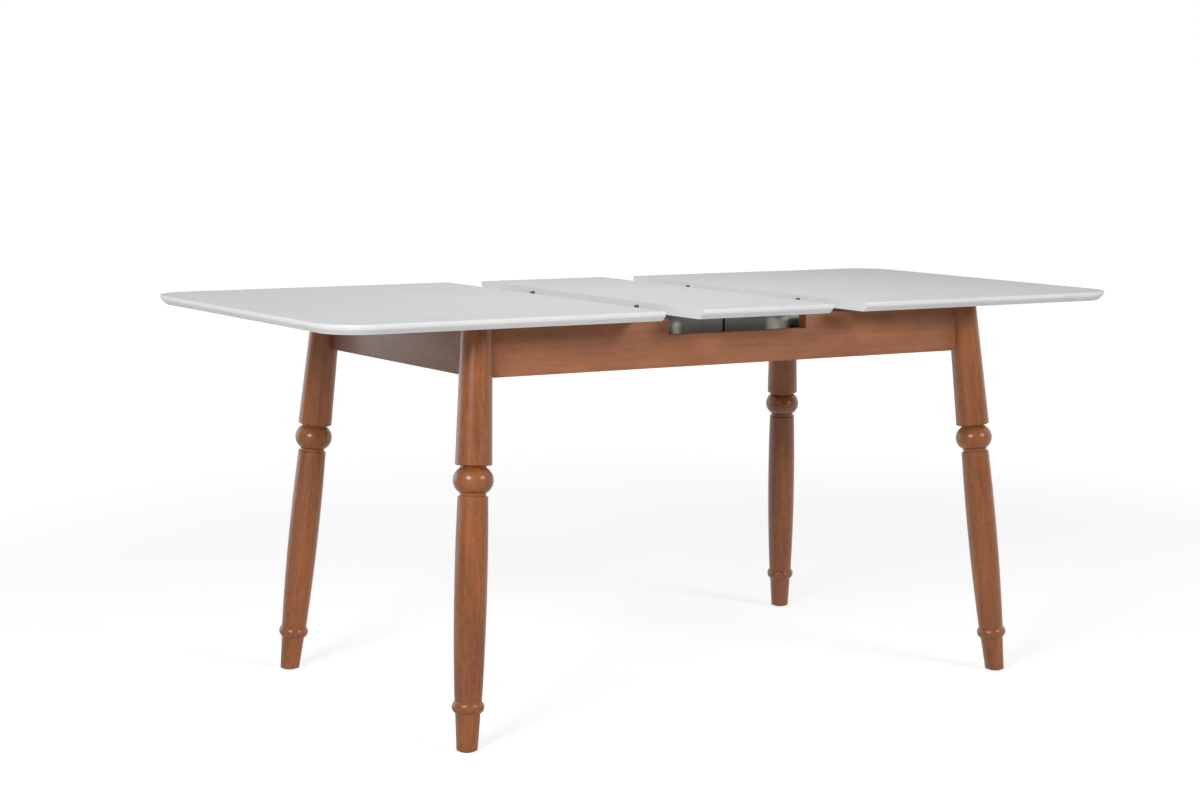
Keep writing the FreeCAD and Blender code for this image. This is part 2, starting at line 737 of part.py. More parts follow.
def corner_block(corner, sx, sy):
    """Make the block that ties two aprons together and takes a leg's bolts."""
    name = f"{corner}_corner_block"
    body = doc.addObject("PartDesign::Body", name + "_body")
    plan = outline(body, name + "_plan", "XY_Plane", (
        ("-BlockStart * sqrt(2)", "0"), ("-BlockEnd * sqrt(2)", "0"),
        ("0", "-BlockEnd * sqrt(2)"), ("0", "-BlockStart * sqrt(2)")))
    pad(body, plan, BLOCK_TALL)
    turn = Rotation(Vector(0, 0, 1), BLOCK_TURN[(sx, sy)])
    place(body, (signed(sx, END_IN), signed(sy, LONG_IN), BLOCK_BASE), turn)
    bores = []
    for level in BOLT_LEVELS:
        bores.append(bolt_rod(name + "_bore", sx, sy, level, "BoltRadius + MateGap", "0", WIDE_CUT))
    keep(cut(name + "_cut", body, bores), name)


def leg_bolts():
    """Make the bolts, washers and nuts that pull each leg into its corner."""
    bolts = []
    washers = []
    nuts = []
    for _, sx, sy in CORNERS:
        for level in BOLT_LEVELS:
            run = bolt_run(level)
            bolts.append(bolt_rod("bolt", sx, sy, level, "BoltRadius", "0", f"{run} + BoltTail"))
            washer = bolt_rod("washer", sx, sy, level, "WasherRadius", run, "WasherThick")
            washer_bore = bolt_rod("washer_bore", sx, sy, level, "BoltRadius + MateGap",
                                   f"{run} - CutPast", "WasherThick + 2 * CutPast")
            washers.append(cut("washer_cut", washer, [washer_bore]))
            nut = doc.addObject("Part::Prism", "nut")
            nut.Polygon = 6
            bind(nut, Circumradius="NutRadius", Height="NutThick")
            seat = on_bolt(sx, sy, level, f"{run} + WasherThick")
            place(nut, seat, Rotation(Vector(0, 0, 1), Vector(-sx, -sy, 0)))
            wide = "BoltRadius + BoltGap"
            nut_bore = bolt_rod("nut_bore", sx, sy, level, wide, run, "NutThick + NutRadius")
            nuts.append(cut("nut_cut", nut, [nut_bore]))
    keep(group("leg_bolts", bolts), "leg_bolts")
    keep(group("leg_washers", washers), "leg_washers")
    keep(group("leg_nuts", nuts), "leg_nuts")


def foot_glides():
    """Make the nail-on glides under the feet."""
    made = []
    for _, sx, sy in CORNERS:
        spot = (signed(sx, FOOT_X), signed(sy, FOOT_Y), "0")
        disc = rod("glide_disc", "GlideRadius", "GlideTall", spot)
        nail = rod("glide_nail", "NailRadius", "GlideTall + NailLong", spot)
        made.append(fuse("glide", [disc, nail]))
    keep(group("foot_glides", made), "foot_glides")


for corner, sx, sy in CORNERS:
    leg(corner, sx, sy)
    corner_block(corner, sx, sy)
leg_bolts()
foot_glides()


# Cross rails, and the pads that the tops pass over
def cross_rail(side, sx, row, middle):
    """Make a wooden rail across the frame, which carries the slides."""
    name = f"{row}_{side}_cross_rail"
    bar = slab(name + "_bar", about(signed(sx, middle), "CrossWide"), (f"-{LONG_IN}", LONG_IN),
               (APRON_BASE, CROSS_TOP))
    seat = f"{CROSS_TOP} + RailWall"
    spots = [(signed(sx, middle), signed(sy, TAB_MIDDLE), seat) for _, sy in ENDS]
    keep(cut(name + "_cut", bar, pilot_holes(spots, -1)), name)


def top_pads():
    """Make the low-friction pads on the aprons."""
    made = []
    tall = (APRON_TOP, f"{BOARD_UNDER} - PadGap")
    for _, sx, sy in CORNERS:
        made.append(slab("end_pad", mirrored(sx, f"{END_IN} + PadInset", f"{END_OUT} - PadInset"),
                         about(signed(sy, "PadSpread"), "PadLong"), tall))
        made.append(slab("long_pad", about(signed(sx, CROSS_OUTER), "PadLong"),
                         mirrored(sy, f"{LONG_IN} + PadInset", f"{LONG_OUT} - PadInset"), tall))
    keep(group("top_pads", made), "top_pads")


for side, sx in SIDES:
    cross_rail(side, sx, "inner", "CrossInner")
    cross_rail(side, sx, "outer", CROSS_OUTER)
top_pads()


# Sheet and plate pieces, drawn in section on the side with positive Y
def section(name, corners, sy, span, bends):
    """Make a piece of constant section along X, with its bends rounded.

    bends is a list of a point in the section and the radius of the edge that passes through it.
    """
    body = doc.addObject("PartDesign::Body", name + "_section_body")
    solid = pad(body, outline(body, name + "_section", "YZ_Plane", corners), f"({span[1]}) - ({span[0]})")
    for (across, up), radius in bends:
        bend = Vector(0, worth(across), worth(up))
        edge = edges_where(solid.Shape, lambda p, bend=bend: near(p.y, bend.y) and near(p.z, bend.z))
        solid = dress(body, "Fillet", solid, edge, Radius=radius)
    body.Tip = solid
    return place(body, (span[0] if sy > 0 else span[1], "0", "0"), half_turn(sy))


def channel(name, web, inside, lip, low, high, sy, span):
    """Make a C-shaped member of rolled sheet steel between two ends along X."""
    corners = ((lip, low), (web, low), (web, high), (lip, high), (lip, f"{high} - RailWall"),
               (inside, f"{high} - RailWall"), (inside, f"{low} + RailWall"), (lip, f"{low} + RailWall"))
    return section(name, corners, sy, span, [((web, low), "RailRound"), ((web, high), "RailRound")])


def angle(name, face, thick, toe, low, high, flange, sy, span):
    """Make an angle of bent plate: an upright leg at a face, and a flange along its top."""
    back = f"({face} - {thick})"
    under = f"({high} - {flange})"
    corners = ((back, low), (face, low), (face, high), (toe, high), (toe, under), (back, under))
    bends = [((face, high), f"BendInside + {flange}"), ((back, under), "BendInside")]
    return section(name, corners, sy, span, bends)


def fixed_rail(corner, sx, sy):
    """Make the outer member of a slide, with the tabs that screw to the cross rails."""
    name = f"{corner}_rail"
    inside = f"{RAIL_FACE} - RailWall"
    span = mirrored(sx, "RailInner", RAIL_OUTER)
    pieces = [channel(name, RAIL_FACE, inside, RAIL_LIP, CROSS_TOP, RAIL_TOP, sy, span)]
    for middle in ("CrossInner", CROSS_OUTER):
        pieces.append(slab(name + "_tab", about(signed(sx, middle), "TabLong"),
                           mirrored(sy, f"{inside} - RailRound", f"{RAIL_FACE} + TabWide"),
                           (CROSS_TOP, f"{CROSS_TOP} + RailWall")))
    keep(cut(name + "_cut", fuse(name + "_welded", pieces), pilot_holes(tab_spots(sx, sy), -1)), name)


def middle_slide(corner, sx, sy):
    """Make the middle member of a slide."""
    span = mirrored(sx, f"{SLIDE_END} - SlideLong", SLIDE_END)
    low = f"({CROSS_TOP} + {RAIL_STEP})"
    high = f"({RAIL_TOP} - {RAIL_STEP})"
    slide = channel(f"{corner}_slide", SLIDE_FACE, f"{SLIDE_FACE} - RailWall", RAIL_LIP, low, high, sy, span)
    keep(slide, f"{corner}_slide")


def runner(corner, sx, sy):
    """Make the inner member of a slide, whose web is towards the middle of the table."""
    span = mirrored(sx, f"{SLIDE_END} - RunnerLong", SLIDE_END)
    inside = f"{RUNNER_LIP} + RailWall"
    piece = channel(f"{corner}_runner", RUNNER_LIP, inside, RUNNER_FACE, RUNNER_LOW, RUNNER_HIGH, sy, span)
    keep(piece, f"{corner}_runner")


def top_bracket(corner, sx, sy):
    """Make the angle that is welded to a runner and screwed under a top."""
    name = f"{corner}_bracket"
    span = mirrored(sx, f"{BRACKET_END} - BracketLong", BRACKET_END)
    toe = f"({BRACKET_FACE} - BracketFoot)"
    plate = angle(name, RUNNER_LIP, "BracketThick", toe, RUNNER_LOW, BOARD_UNDER, "BracketThick", sy, span)
    spots = [(signed(sx, x), y, seat) for x, y, seat in bracket_spots(BRACKET_END, FLANGE_UNDER, (("", sy),))]
    keep(cut(name + "_cut", plate, pilot_holes(spots, 1)), name)


def bumper(sx, sy):
    """Make the rubber stop in the outer end of a rail."""
    return slab("bumper", mirrored(sx, f"{RAIL_OUTER} - BumperThick", RAIL_OUTER),
                mirrored(sy, RAIL_LIP, f"{RAIL_FACE} - RailWall - RailRound"),
                (f"{CROSS_TOP} + RailWall", f"{RAIL_TOP} - RailWall"))


rail_screws = []
for corner, sx, sy in CORNERS:
    fixed_rail(corner, sx, sy)
    middle_slide(corner, sx, sy)
    runner(corner, sx, sy)
    top_bracket(corner, sx, sy)
    rail_screws += screws(tab_spots(sx, sy), -1)
keep(group("rail_screws", rail_screws), "rail_screws")
keep(group("rail_bumpers", [bumper(sx, sy) for _, sx, sy in CORNERS]), "rail_bumpers")
for side, sx in SIDES:
    spots = [(signed(sx, x), y, seat) for x, y, seat in bracket_spots(BRACKET_END, FLANGE_UNDER)]
    keep(group(f"{side}_top_screws", screws(spots, 1)), f"{side}_top_screws")


# Leaf lift: two rocker shafts whose pins ride in slotted lugs under the leaf
def rocker(side, sx):
    """Make a shaft with its two arms, and the pins in the arms' eyes."""
    lean = math.degrees(math.asin(worth("ArmRise / ArmReach")))
    turn = half_turn(-sx).multiply(Rotation(Vector(0, 1, 0), -lean))
    spot = (signed(sx, SHAFT_OUT), "0", SHAFT_UP)
    pieces = [rod(side + "_shaft", "ShaftRadius", f"2 * {SHAFT_HALF}", ("0", f"-{SHAFT_HALF}", "0"), "y")]
    eyes = []
    pins = []
    for _, sy in ENDS:
        low, high = mirrored(sy, ARM_FACE, f"{ARM_FACE} + ArmThick")
        pieces.append(rod("arm_boss", "ArmBoss", "ArmThick", ("0", low, "0"), "y"))
        pieces.append(rod("arm_eye", "ArmEye", "ArmThick", ("ArmReach", low, "0"), "y"))
        pieces.append(slab("arm_bar", ("0", "ArmReach"), (low, high), ("-ArmHalfTall", "ArmHalfTall")))
        eye_low = ("ArmReach", f"{low} - CutPast", "0")
        eyes.append(rod("arm_bore", "PinRadius + BoltGap", "ArmThick + 2 * CutPast", eye_low, "y"))
        pin_low = mirrored(sy, ARM_FACE, f"{ARM_FACE} + PinLong")[0]
        pins.append(rod("arm_pin", "PinRadius", "PinLong", ("ArmReach", pin_low, "0"), "y"))
    welded = cut(side + "_rocker_cut", fuse(side + "_rocker_welded", pieces), eyes)
    keep(place(welded, spot, turn), f"{side}_rocker")
    keep(place(group(side + "_rocker_pins_group", pins), spot, turn), f"{side}_rocker_pins")


def lift_lug(corner, sx, sy):
    """Make an angle under the leaf with the slot that a rocker's pin slides in."""
    name = f"{corner}_lug"
    span = about(signed(sx, LUG_MIDDLE), "LugWide")
    outer = f"({LUG_FACE} + LugThick)"
    toe = f"({LUG_FACE} - LugFoot)"
    low = f"({BOARD_UNDER} - LugTall)"
    plate = angle(name, outer, "LugThick", toe, low, BOARD_UNDER, "BracketThick", sy, span)
    across = mirrored(sy, f"{LUG_FACE} - CutPast", f"{outer} + CutPast")
    tall = about(PIN_UP, "2 * (PinRadius + SlotGap)")
    slot = [slab(name + "_slot", mirrored(sx, SLOT_NEAR, SLOT_FAR), across, tall)]
    for end in (SLOT_NEAR, SLOT_FAR):
        spot = (signed(sx, end), across[0], PIN_UP)
        slot.append(rod(name + "_slot_end", "PinRadius + SlotGap", "LugThick + 2 * CutPast", spot, "y"))
    holes = pilot_holes(lug_spots(sx, sy, FLANGE_UNDER), 1)
    return cut(name + "_cut", plate, [fuse(name + "_slot_cut", slot)] + holes)


def shaft_bearing(sx, sy):
    """Make the block on a rail's top that a rocker shaft turns in."""
    block = slab("bearing_block", about(signed(sx, SHAFT_OUT), "BearingWide"),
                 mirrored(sy, f"{RAIL_LIP} + BearingInset", f"{RAIL_FACE} - BearingInset"),
                 (RAIL_TOP, f"{SHAFT_UP} + ShaftRadius + BearingCap"))
    spot = (signed(sx, SHAFT_OUT), mirrored(sy, RAIL_LIP, RAIL_FACE)[0], SHAFT_UP)
    return cut("bearing", block, [rod("bearing_bore", "ShaftRadius + ShaftGap", "RailDeep", spot, "y")])


keep(group("shaft_bearings", [shaft_bearing(sx, sy) for _, sx, sy in CORNERS]), "shaft_bearings")
keep(group("lift_lugs", [lift_lug(corner, sx, sy) for corner, sx, sy in CORNERS]), "lift_lugs")
lug_screws = []
for _, sx, sy in CORNERS:
    lug_screws += screws(lug_spots(sx, sy, FLANGE_UNDER), 1)
keep(group("lug_screws", lug_screws), "lug_screws")
for side, sx in SIDES:
    rocker(side, sx)


# Leaf carriers: bent plates under the leaf on thin spacers, in line with the notches
def pressed_end(name, sx, sy):
    """Make the end of a carrier that is pressed outwards: a ramp, a flat, and a ledge over them."""
    bodies = []
    pan = ((PRESS_START, CARRIER_FACE), (PRESS_FLAT, PRESS_FACE), ("CarrierReach", PRESS_FACE),
           ("CarrierReach", PRESS_BACK), (PRESS_FLAT, PRESS_BACK), (PRESS_START, CARRIER_BACK))
    ledge = ((PRESS_START, CARRIER_FACE), (PRESS_FLAT, PRESS_FACE), ("CarrierReach", PRESS_FACE),
             ("CarrierReach", CARRIER_BACK), (PRESS_START, CARRIER_BACK))
    for part, corners, tall, low in (
            ("pan", pan, "PressTall", CARRIER_BASE),
            ("ledge", ledge, "CarrierThick", f"{PRESS_TOP} - CarrierThick")):
        body = doc.addObject("PartDesign::Body", f"{name}_{part}")
        plan = [(signed(sx, across), signed(sy, back)) for across, back in corners]
        solid = pad(body, outline(body, f"{name}_{part}_plan", "XY_Plane", plan), tall)
        foot = abs(worth(PRESS_FLAT))
        turns = edges_where(solid.Shape, lambda p: near(abs(p.x), foot) and near(p.z, worth(tall) / 2))
        body.Tip = dress(body, "Fillet", solid, turns, Radius="PressRound")
        bodies.append(place(body, ("0", "0", low)))
    return bodies


def carrier(end, side, sx, sy):
    """Make one carrier, pressed outwards at its end and drilled through its flange."""
    name = f"{end}_{side}_carrier"
    span = mirrored(sx, "CarrierSplit / 2", "CarrierReach")
    plate = angle(name, CARRIER_FACE, "CarrierThick", CARRIER_EDGE, CARRIER_BASE, CARRIER_TOP,
                  "CarrierThick", sy, span)
    window = slab(name + "_window", mirrored(sx, PRESS_START, "CarrierReach + CutPast"),
                  mirrored(sy, f"{CARRIER_BACK} - CutPast", f"{CARRIER_FACE} + CutPast"),
                  (f"{CARRIER_BASE} - CutPast", PRESS_TOP))
    pressed = fuse(name + "_pressed", [cut(name + "_open", plate, [window])] + pressed_end(name, sx, sy))
    spots = carrier_spots(sx, sy, f"{CARRIER_TOP} - CarrierThick")
    return cut(name + "_cut", pressed, pilot_holes(spots, 1))


def spacer(spot, sy):
    """Make the drilled block between a carrier's flange and the leaf, round one screw."""
    depth = mirrored(sy, CARRIER_EDGE, f"{CARRIER_BACK} - BendInside")
    block = slab("spacer", about(spot[0], "SpacerWide"), depth, (CARRIER_TOP, BOARD_UNDER))
    return cut("spacer_cut", block, pilot_holes([spot], 1, CARRIER_BITE))


def joint_strip(sy):
    """Make the strip that stands between the inner ends of two carriers."""
    return slab("joint_strip", about("0", "CarrierSplit - 2 * MateGap"),
                mirrored(sy, CARRIER_EDGE, CARRIER_FACE), (CARRIER_BASE, BOARD_UNDER))


def guide_shoe(sx, sy):
    """Make the block on a carrier's pressed end that keeps the sinking leaf off the apron."""
    return slab("guide_shoe", mirrored(sx, "CarrierReach - ShoeLong", "CarrierReach"),
                mirrored(sy, PRESS_FACE, f"{LONG_IN} - ShoeGap"),
                (CARRIER_BASE, f"{CARRIER_BASE} + ShoeTall"))


spacers = []
carrier_screws = []
for end, sy in ENDS:
    spacers.append(joint_strip(sy))
    plates = [carrier(end, side, sx, sy) for side, sx in SIDES]
    keep(group(f"{end}_leaf_carriers", plates), f"{end}_leaf_carriers")
for _, sx, sy in CORNERS:
    spots = carrier_spots(sx, sy, f"{CARRIER_TOP} - CarrierThick")
    spacers += [spacer(spot, sy) for spot in spots]
    carrier_screws += screws(spots, 1, CARRIER_BITE)
keep(group("carrier_spacers", spacers), "carrier_spacers")
keep(group("carrier_screws", carrier_screws), "carrier_screws")
keep(group("guide_shoes", [guide_shoe(sx, sy) for _, sx, sy in CORNERS]), "guide_shoes")

doc.recompute()

for item in doc.Objects:
    if "Invalid" in item.State or "Error" in item.State:
        raise RuntimeError(f"{item.Name} failed to build")
for piece in PARTS:
    if piece.Shape.isNull() or not piece.Shape.isValid():
        raise RuntimeError(f"{piece.Label} has no valid shape")

os.makedirs("parts", exist_ok=True)
for piece in PARTS:
    piece.Shape.exportStep(f"parts/{piece.Label}.step")
    solids = len(piece.Shape.Solids)
    print(f"{piece.Label:28s} {solids:2d} solids {piece.Shape.Volume / 1000:9.1f} cm3")
print(f"{len(PARTS)} nodes")
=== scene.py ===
"""Looks of an extending dining table: three white lacquered boards on a stained frame with turned legs.

Every length is in metres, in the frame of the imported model: +X along the table, +Z up, the floor at zero.
"""

import logging
import math
from dataclasses import dataclass, field
from enum import Enum
from typing import Any, Callable

import bmesh
import bpy
from mathutils import Matrix, Vector


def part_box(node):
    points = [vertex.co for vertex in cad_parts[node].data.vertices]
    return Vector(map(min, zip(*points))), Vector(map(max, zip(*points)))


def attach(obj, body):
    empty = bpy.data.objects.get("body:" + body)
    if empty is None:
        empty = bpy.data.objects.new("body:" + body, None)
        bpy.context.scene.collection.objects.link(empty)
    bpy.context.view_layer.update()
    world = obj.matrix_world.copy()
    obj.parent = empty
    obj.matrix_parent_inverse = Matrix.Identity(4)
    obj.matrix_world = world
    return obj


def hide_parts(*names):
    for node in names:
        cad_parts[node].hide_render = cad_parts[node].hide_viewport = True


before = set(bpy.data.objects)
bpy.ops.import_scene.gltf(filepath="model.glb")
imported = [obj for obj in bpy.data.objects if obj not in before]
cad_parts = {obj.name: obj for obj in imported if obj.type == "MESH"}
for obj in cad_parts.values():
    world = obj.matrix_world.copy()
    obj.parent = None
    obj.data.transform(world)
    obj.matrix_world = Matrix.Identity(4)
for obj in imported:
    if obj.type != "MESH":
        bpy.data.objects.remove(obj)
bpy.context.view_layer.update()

Colour = tuple[float, float, float]
log = logging.getLogger("table")


class Value:
    """An output socket that Python's operators work on. Each operator adds one Math node."""

    def __init__(self, recipe: "Recipe", socket: bpy.types.NodeSocket) -> None:
        """Keep the tree's recipe beside the socket."""
        self.recipe = recipe
        self.socket = socket

    def _math(self, operation: str, first: Any, second: Any) -> "Value":
        """Return the result of one Math node on two numbers or sockets."""
        return self.recipe.node("ShaderNodeMath", {"operation": operation}, {0: first, 1: second})

    def __add__(self, other: Any) -> "Value":
        """Return self + other."""
        return self._math("ADD", self, other)

    def __mul__(self, other: Any) -> "Value":
        """Return self * other."""
        return self._math("MULTIPLY", self, other)

    def __pow__(self, other: Any) -> "Value":
        """Return self to the power of other."""
        return self._math("POWER", self, other)

    __radd__ = __add__


class Recipe:
    """The node tree of one material or world, built through a single method for any node."""

    def __init__(self, owner: bpy.types.Material | bpy.types.World) -> None:
        """Empty the owner's tree.

        Args:
            owner: The material or world that the nodes belong to.
        """
        owner.use_nodes = True
        self.owner = owner
        self.tree = owner.node_tree
        self.tree.nodes.clear()

    def node(
        self,
        kind: str,
        settings: dict[str, Any] | None = None,
        sockets: dict[Any, Any] | None = None,
        result: Any = 0,
    ) -> Value:
        """Add a node.

        Args:
            kind: The node's type, such as ShaderNodeMath.
            settings: Its properties, set first. "stops" places both ends of a colour ramp.
            sockets: Its inputs by name or number, each a Value to link or a constant.
            result: The name or number of the output that is handed back.

        Returns:
            The chosen output.
        """
        made = self.tree.nodes.new(kind)
        for name, setting in (settings or {}).items():
            if name == "stops":
                self._stops(made.color_ramp.elements, setting)
            else:
                setattr(made, name, setting)
        for name, value in (sockets or {}).items():
            if isinstance(value, Value):
                self.tree.links.new(value.socket, made.inputs[name])
            else:
                made.inputs[name].default_value = value
        return Value(self, made.outputs[result]) if len(made.outputs) else Value(self, None)

    @staticmethod
    def _stops(elements: bpy.types.ColorRampElements, stops: list[tuple[float, float]]) -> None:
        """Give a ramp its stops.

        Args:
            elements: The ramp's two elements.
            stops: Their positions with grey levels, lowest position first.
        """
        for element, (position, level) in zip(elements, stops):
            element.position = position
            element.color = (level, level, level, 1)

    def shader(self, **sockets: Any) -> None:
        """Add the Principled shader and the output.

        Args:
            sockets: The shader's inputs, with _ for a space in the name.
        """
        named = {name.replace("_", " "): value for name, value in sockets.items()}
        surface = self.node("ShaderNodeBsdfPrincipled", None, named)
        self.node("ShaderNodeOutputMaterial", None, {"Surface": surface})

    def place(self, along: Vector, scale: Colour = (1, 1, 1)) -> Value:
        """Return the piece's own coordinates in metres, turned so that X runs along a direction.

        Args:
            along: The direction of the grain or of the brushing.
            scale: Factors along and across it, put on before a texture reads them.

        Returns:
            The turned and stretched coordinates.
        """
        spot = self.node("ShaderNodeTexCoord", None, None, "Object")
        across = along.orthogonal().normalized()
        turn = Matrix((along.normalized(), across, along.normalized().cross(across)))
        turned = self.node("ShaderNodeMapping", None, {"Vector": spot, "Rotation": turn.to_euler()})
        return self.vector("MULTIPLY", turned, scale)

    def vector(self, operation: str, first: Any, second: Any = (0, 0, 0), result: Any = 0) -> Value:
        """Return the result of one Vector Math node."""
        return self.node("ShaderNodeVectorMath", {"operation": operation}, {0: first, 1: second}, result)

    def fade(self, value: Value, start: float, end: float, low: float, high: float) -> Value:
        """Return the smooth change from low, where a value is at its start, to high at its end."""
        sockets = {"Value": value, "From Min": start, "From Max": end, "To Min": low, "To Max": high}
        return self.node("ShaderNodeMapRange", {"interpolation_type": "SMOOTHSTEP"}, sockets)

    def noise(self, vector: Value, scale: float = 1.0, detail: float = 3.0, rough: float = 0.5) -> Value:
        """Return a noise between about 0.3 and 0.7 at a scale per metre."""
        sockets = {"Vector": vector, "Scale": scale, "Detail": detail, "Roughness": rough}
        return self.node("ShaderNodeTexNoise", None, sockets)

    def ramp(self, value: Value, low: float, high: float, falls: bool = False) -> Value:
        """Return the straight rise from 0 to 1 as a value goes from low to high, or the same fall."""
        stops = [(low, float(falls)), (high, float(not falls))]
        return self.node("ShaderNodeValToRGB", {"stops": stops}, {0: value})

    def blend(self, share: Any, low: Any, high: Any) -> Value:
        """Return a colour that goes from low to high with share. Each colour is a tuple or a Value."""
        ends = [end if isinstance(end, Value) else (*end, 1) for end in (low, high)]
        return self.node("ShaderNodeMix", {"data_type": "RGBA"}, {0: share, 6: ends[0], 7: ends[1]}, 2)

    def bump(self, height: Value, depth: float, strength: float = 1.0) -> Value:
        """Return a normal for a height from 0 to 1 that stands depth metres high."""
        return self.node("ShaderNodeBump", None, {"Height": height, "Distance": depth, "Strength": strength})


def material(name: str) -> Recipe:
    """Return the recipe of a new material with this name."""
    return Recipe(bpy.data.materials.new(name))


# The scale at which a wave texture repeats once in a metre.
WAVE_SCALE = 0.314


@dataclass(frozen=True)
class StainedWood:
    """Wood under a translucent stain and a satin coat, with streaks, flecks, pores and soft clouds."""

    name: str
    light: Colour
    dark: Colour
    along: Vector
    cloud_scale: Colour = (11, 24, 24)
    cloud_share: float = 1.1
    streak_share: float = 0.6
    mottle_share: float = 0.7
    ring_share: float = 0.10
    fleck_share: float = 0.25
    mottle_scale: Colour = (70, 190, 190)
    streak_scale: Colour = (7, 210, 210)
    fleck_scale: Colour = (150, 800, 800)
    fleck_band: tuple[float, float] = (0.36, 0.52)
    ring_scale: Colour = (0.12, 1, 1)
    ring_pitch: float = 0.011
    ring_wobble: float = 7.0
    ring_detail: float = 2.0
    ring_detail_scale: float = 0.35
    spread: float = 0.12
    gloss_share: float = 0.1
    pore_depth: float = 0.00003
    roughness: float = 0.45
    specular: float = 0.25
    coat: float = 0.18
    coat_roughness: float = 0.22

    def build(self) -> bpy.types.Material:
        """Build the finish.

        Returns:
            The material.
        """
        recipe = material(self.name)
        cloud = recipe.noise(recipe.place(self.along, self.cloud_scale), detail=4, rough=0.55)
        mottle = recipe.noise(recipe.place(self.along, self.mottle_scale), detail=4, rough=0.65)
        streak = recipe.noise(recipe.place(self.along, self.streak_scale), detail=4, rough=0.6)
        flecks = recipe.noise(recipe.place(self.along, self.fleck_scale), detail=2)
        rings = recipe.node(
            "ShaderNodeTexWave",
            {"wave_type": "BANDS", "bands_direction": "Y", "wave_profile": "SIN"},
            {
                "Vector": recipe.place(self.along, self.ring_scale),
                "Scale": WAVE_SCALE / self.ring_pitch,
                "Distortion": self.ring_wobble,
                "Detail": self.ring_detail,
                "Detail Scale": self.ring_detail_scale,
            },
            "Fac",
        )
        total = self.cloud_share + self.streak_share + self.mottle_share + self.ring_share
        tone = cloud * (self.cloud_share / total) + streak * (self.streak_share / total)
        tone = tone + mottle * (self.mottle_share / total) + rings * (self.ring_share / total)
        share = recipe.ramp(tone, 0.5 - self.spread, 0.5 + self.spread)
        dashes = recipe.ramp(flecks, *self.fleck_band, falls=True)
        stain = recipe.blend(share, self.dark, self.light)
        recipe.shader(
            Base_Color=recipe.blend(dashes * self.fleck_share, stain, self.dark),
            Roughness=self.roughness + mottle * self.gloss_share,
            Specular_IOR_Level=self.specular,
            Normal=recipe.bump(streak, self.pore_depth),
            Coat_Weight=self.coat,
            Coat_Roughness=self.coat_roughness,
        )
        return recipe.owner


@dataclass(frozen=True)
class Lacquer:
    """Sprayed satin lacquer: almost even, with a faint cloud in the colour and a fine orange peel."""

    name: str
    light: Colour
    dark: Colour
    roughness: float = 0.55
    specular: float = 0.2
    cloud_scale: float = 3.5
    cloud_band: tuple[float, float] = (0.35, 0.65)
    peel_scale: float = 420.0
    peel_depth: float = 0.00002
    peel_strength: float = 0.5
    gloss_share: float = 0.08

    def build(self) -> bpy.types.Material:
        """Build the finish.

        Returns:
            The material.
        """
        recipe = material(self.name)
        even = recipe.place(Vector((1, 0, 0)))
        cloud = recipe.noise(even, self.cloud_scale)
        peel = recipe.noise(even, self.peel_scale, detail=2)
        share = recipe.ramp(cloud, *self.cloud_band)
        recipe.shader(
            Base_Color=recipe.blend(share, self.dark, self.light),
            Roughness=self.roughness + cloud * self.gloss_share,
            Specular_IOR_Level=self.specular,
            Normal=recipe.bump(peel, self.peel_depth, self.peel_strength),
        )
        return recipe.owner


@dataclass(frozen=True)
class Metal:
    """Bare or plated metal with a brushed or rolled direction and a cloudy film, and a painted highlight on
    its bends where one is given.
    """

    name: str
    light: Colour
    dark: Colour
    along: Vector = Vector((1, 0, 0))
    roughness: float = 0.38
    film_roughness: float = 0.16
    film_scale: float = 26.0
    brush_scale: Colour = (25, 1400, 1400)
    brush_share: float = 0.3
    tone_band: tuple[float, float] = (0.38, 0.62)
    brush_depth: float = 0.00003
    brush_strength: float = 0.6
    # The colour of a painted highlight on the bends, where the sheet turns away from its flat face.
    bend_highlight: Colour | None = None
    bend_ways: Colour = (1, 0, 0.06)
    bend_full: float = 0.32
    bend_fade: float = 1.9

    def build(self) -> bpy.types.Material:
        """Build the finish.

        Returns:
            The material.
        """
        recipe = material(self.name)
        film = recipe.noise(recipe.place(self.along), self.film_scale, detail=4, rough=0.6)
        brushed = recipe.noise(recipe.place(self.along, self.brush_scale))
        tone = film * (1 - self.brush_share) + brushed * self.brush_share
        share = recipe.ramp(tone, *self.tone_band)
        colour = recipe.blend(share, self.dark, self.light)
        # Painted highlight: the bends are lightened in the colour to stand in for the light they reflect.
        if self.bend_highlight:
            colour = recipe.blend(self.bend(recipe), colour, self.bend_highlight)
        recipe.shader(
            Base_Color=colour,
            Metallic=1.0,
            Roughness=self.roughness + film * self.film_roughness,
            Normal=recipe.bump(brushed, self.brush_depth, self.brush_strength),
        )
        return recipe.owner

    def bend(self, recipe: Recipe) -> Value:
        """Find where the sheet turns away from its flat face, which is where the painted highlight goes.

        Args:
            recipe: The material's tree.

        Returns:
            0 where the sheet lies flat, up to 1 on the bends.
        """
        facing = recipe.node("ShaderNodeTexCoord", None, None, "Normal")
        turned = recipe.vector("MULTIPLY", facing, self.bend_ways)
        away = recipe.vector("LENGTH", turned, result="Value")
        return recipe.ramp(away, 0.0, self.bend_full) ** self.bend_fade


@dataclass(frozen=True)
class Moulded:
    """Moulded plastic, rubber or powder coat: one colour with a fine leathered skin."""

    name: str
    light: Colour
    dark: Colour
    roughness: float = 0.5
    specular: float = 0.5
    cloud_scale: float = 60.0
    grain_scale: float = 1600.0
    grain_depth: float = 0.00004
    grain_strength: float = 0.7
    gloss_share: float = 0.12

    def build(self) -> bpy.types.Material:
        """Build the finish.

        Returns:
            The material.
        """
        recipe = material(self.name)
        even = recipe.place(Vector((1, 0, 0)))
        cloud = recipe.noise(even, self.cloud_scale)
        grain = recipe.noise(even, self.grain_scale, detail=2)
        recipe.shader(
            Base_Color=recipe.blend(cloud, self.dark, self.light),
            Roughness=self.roughness + cloud * self.gloss_share,
            Specular_IOR_Level=self.specular,
            Normal=recipe.bump(grain, self.grain_depth, self.grain_strength),
        )
        return recipe.owner


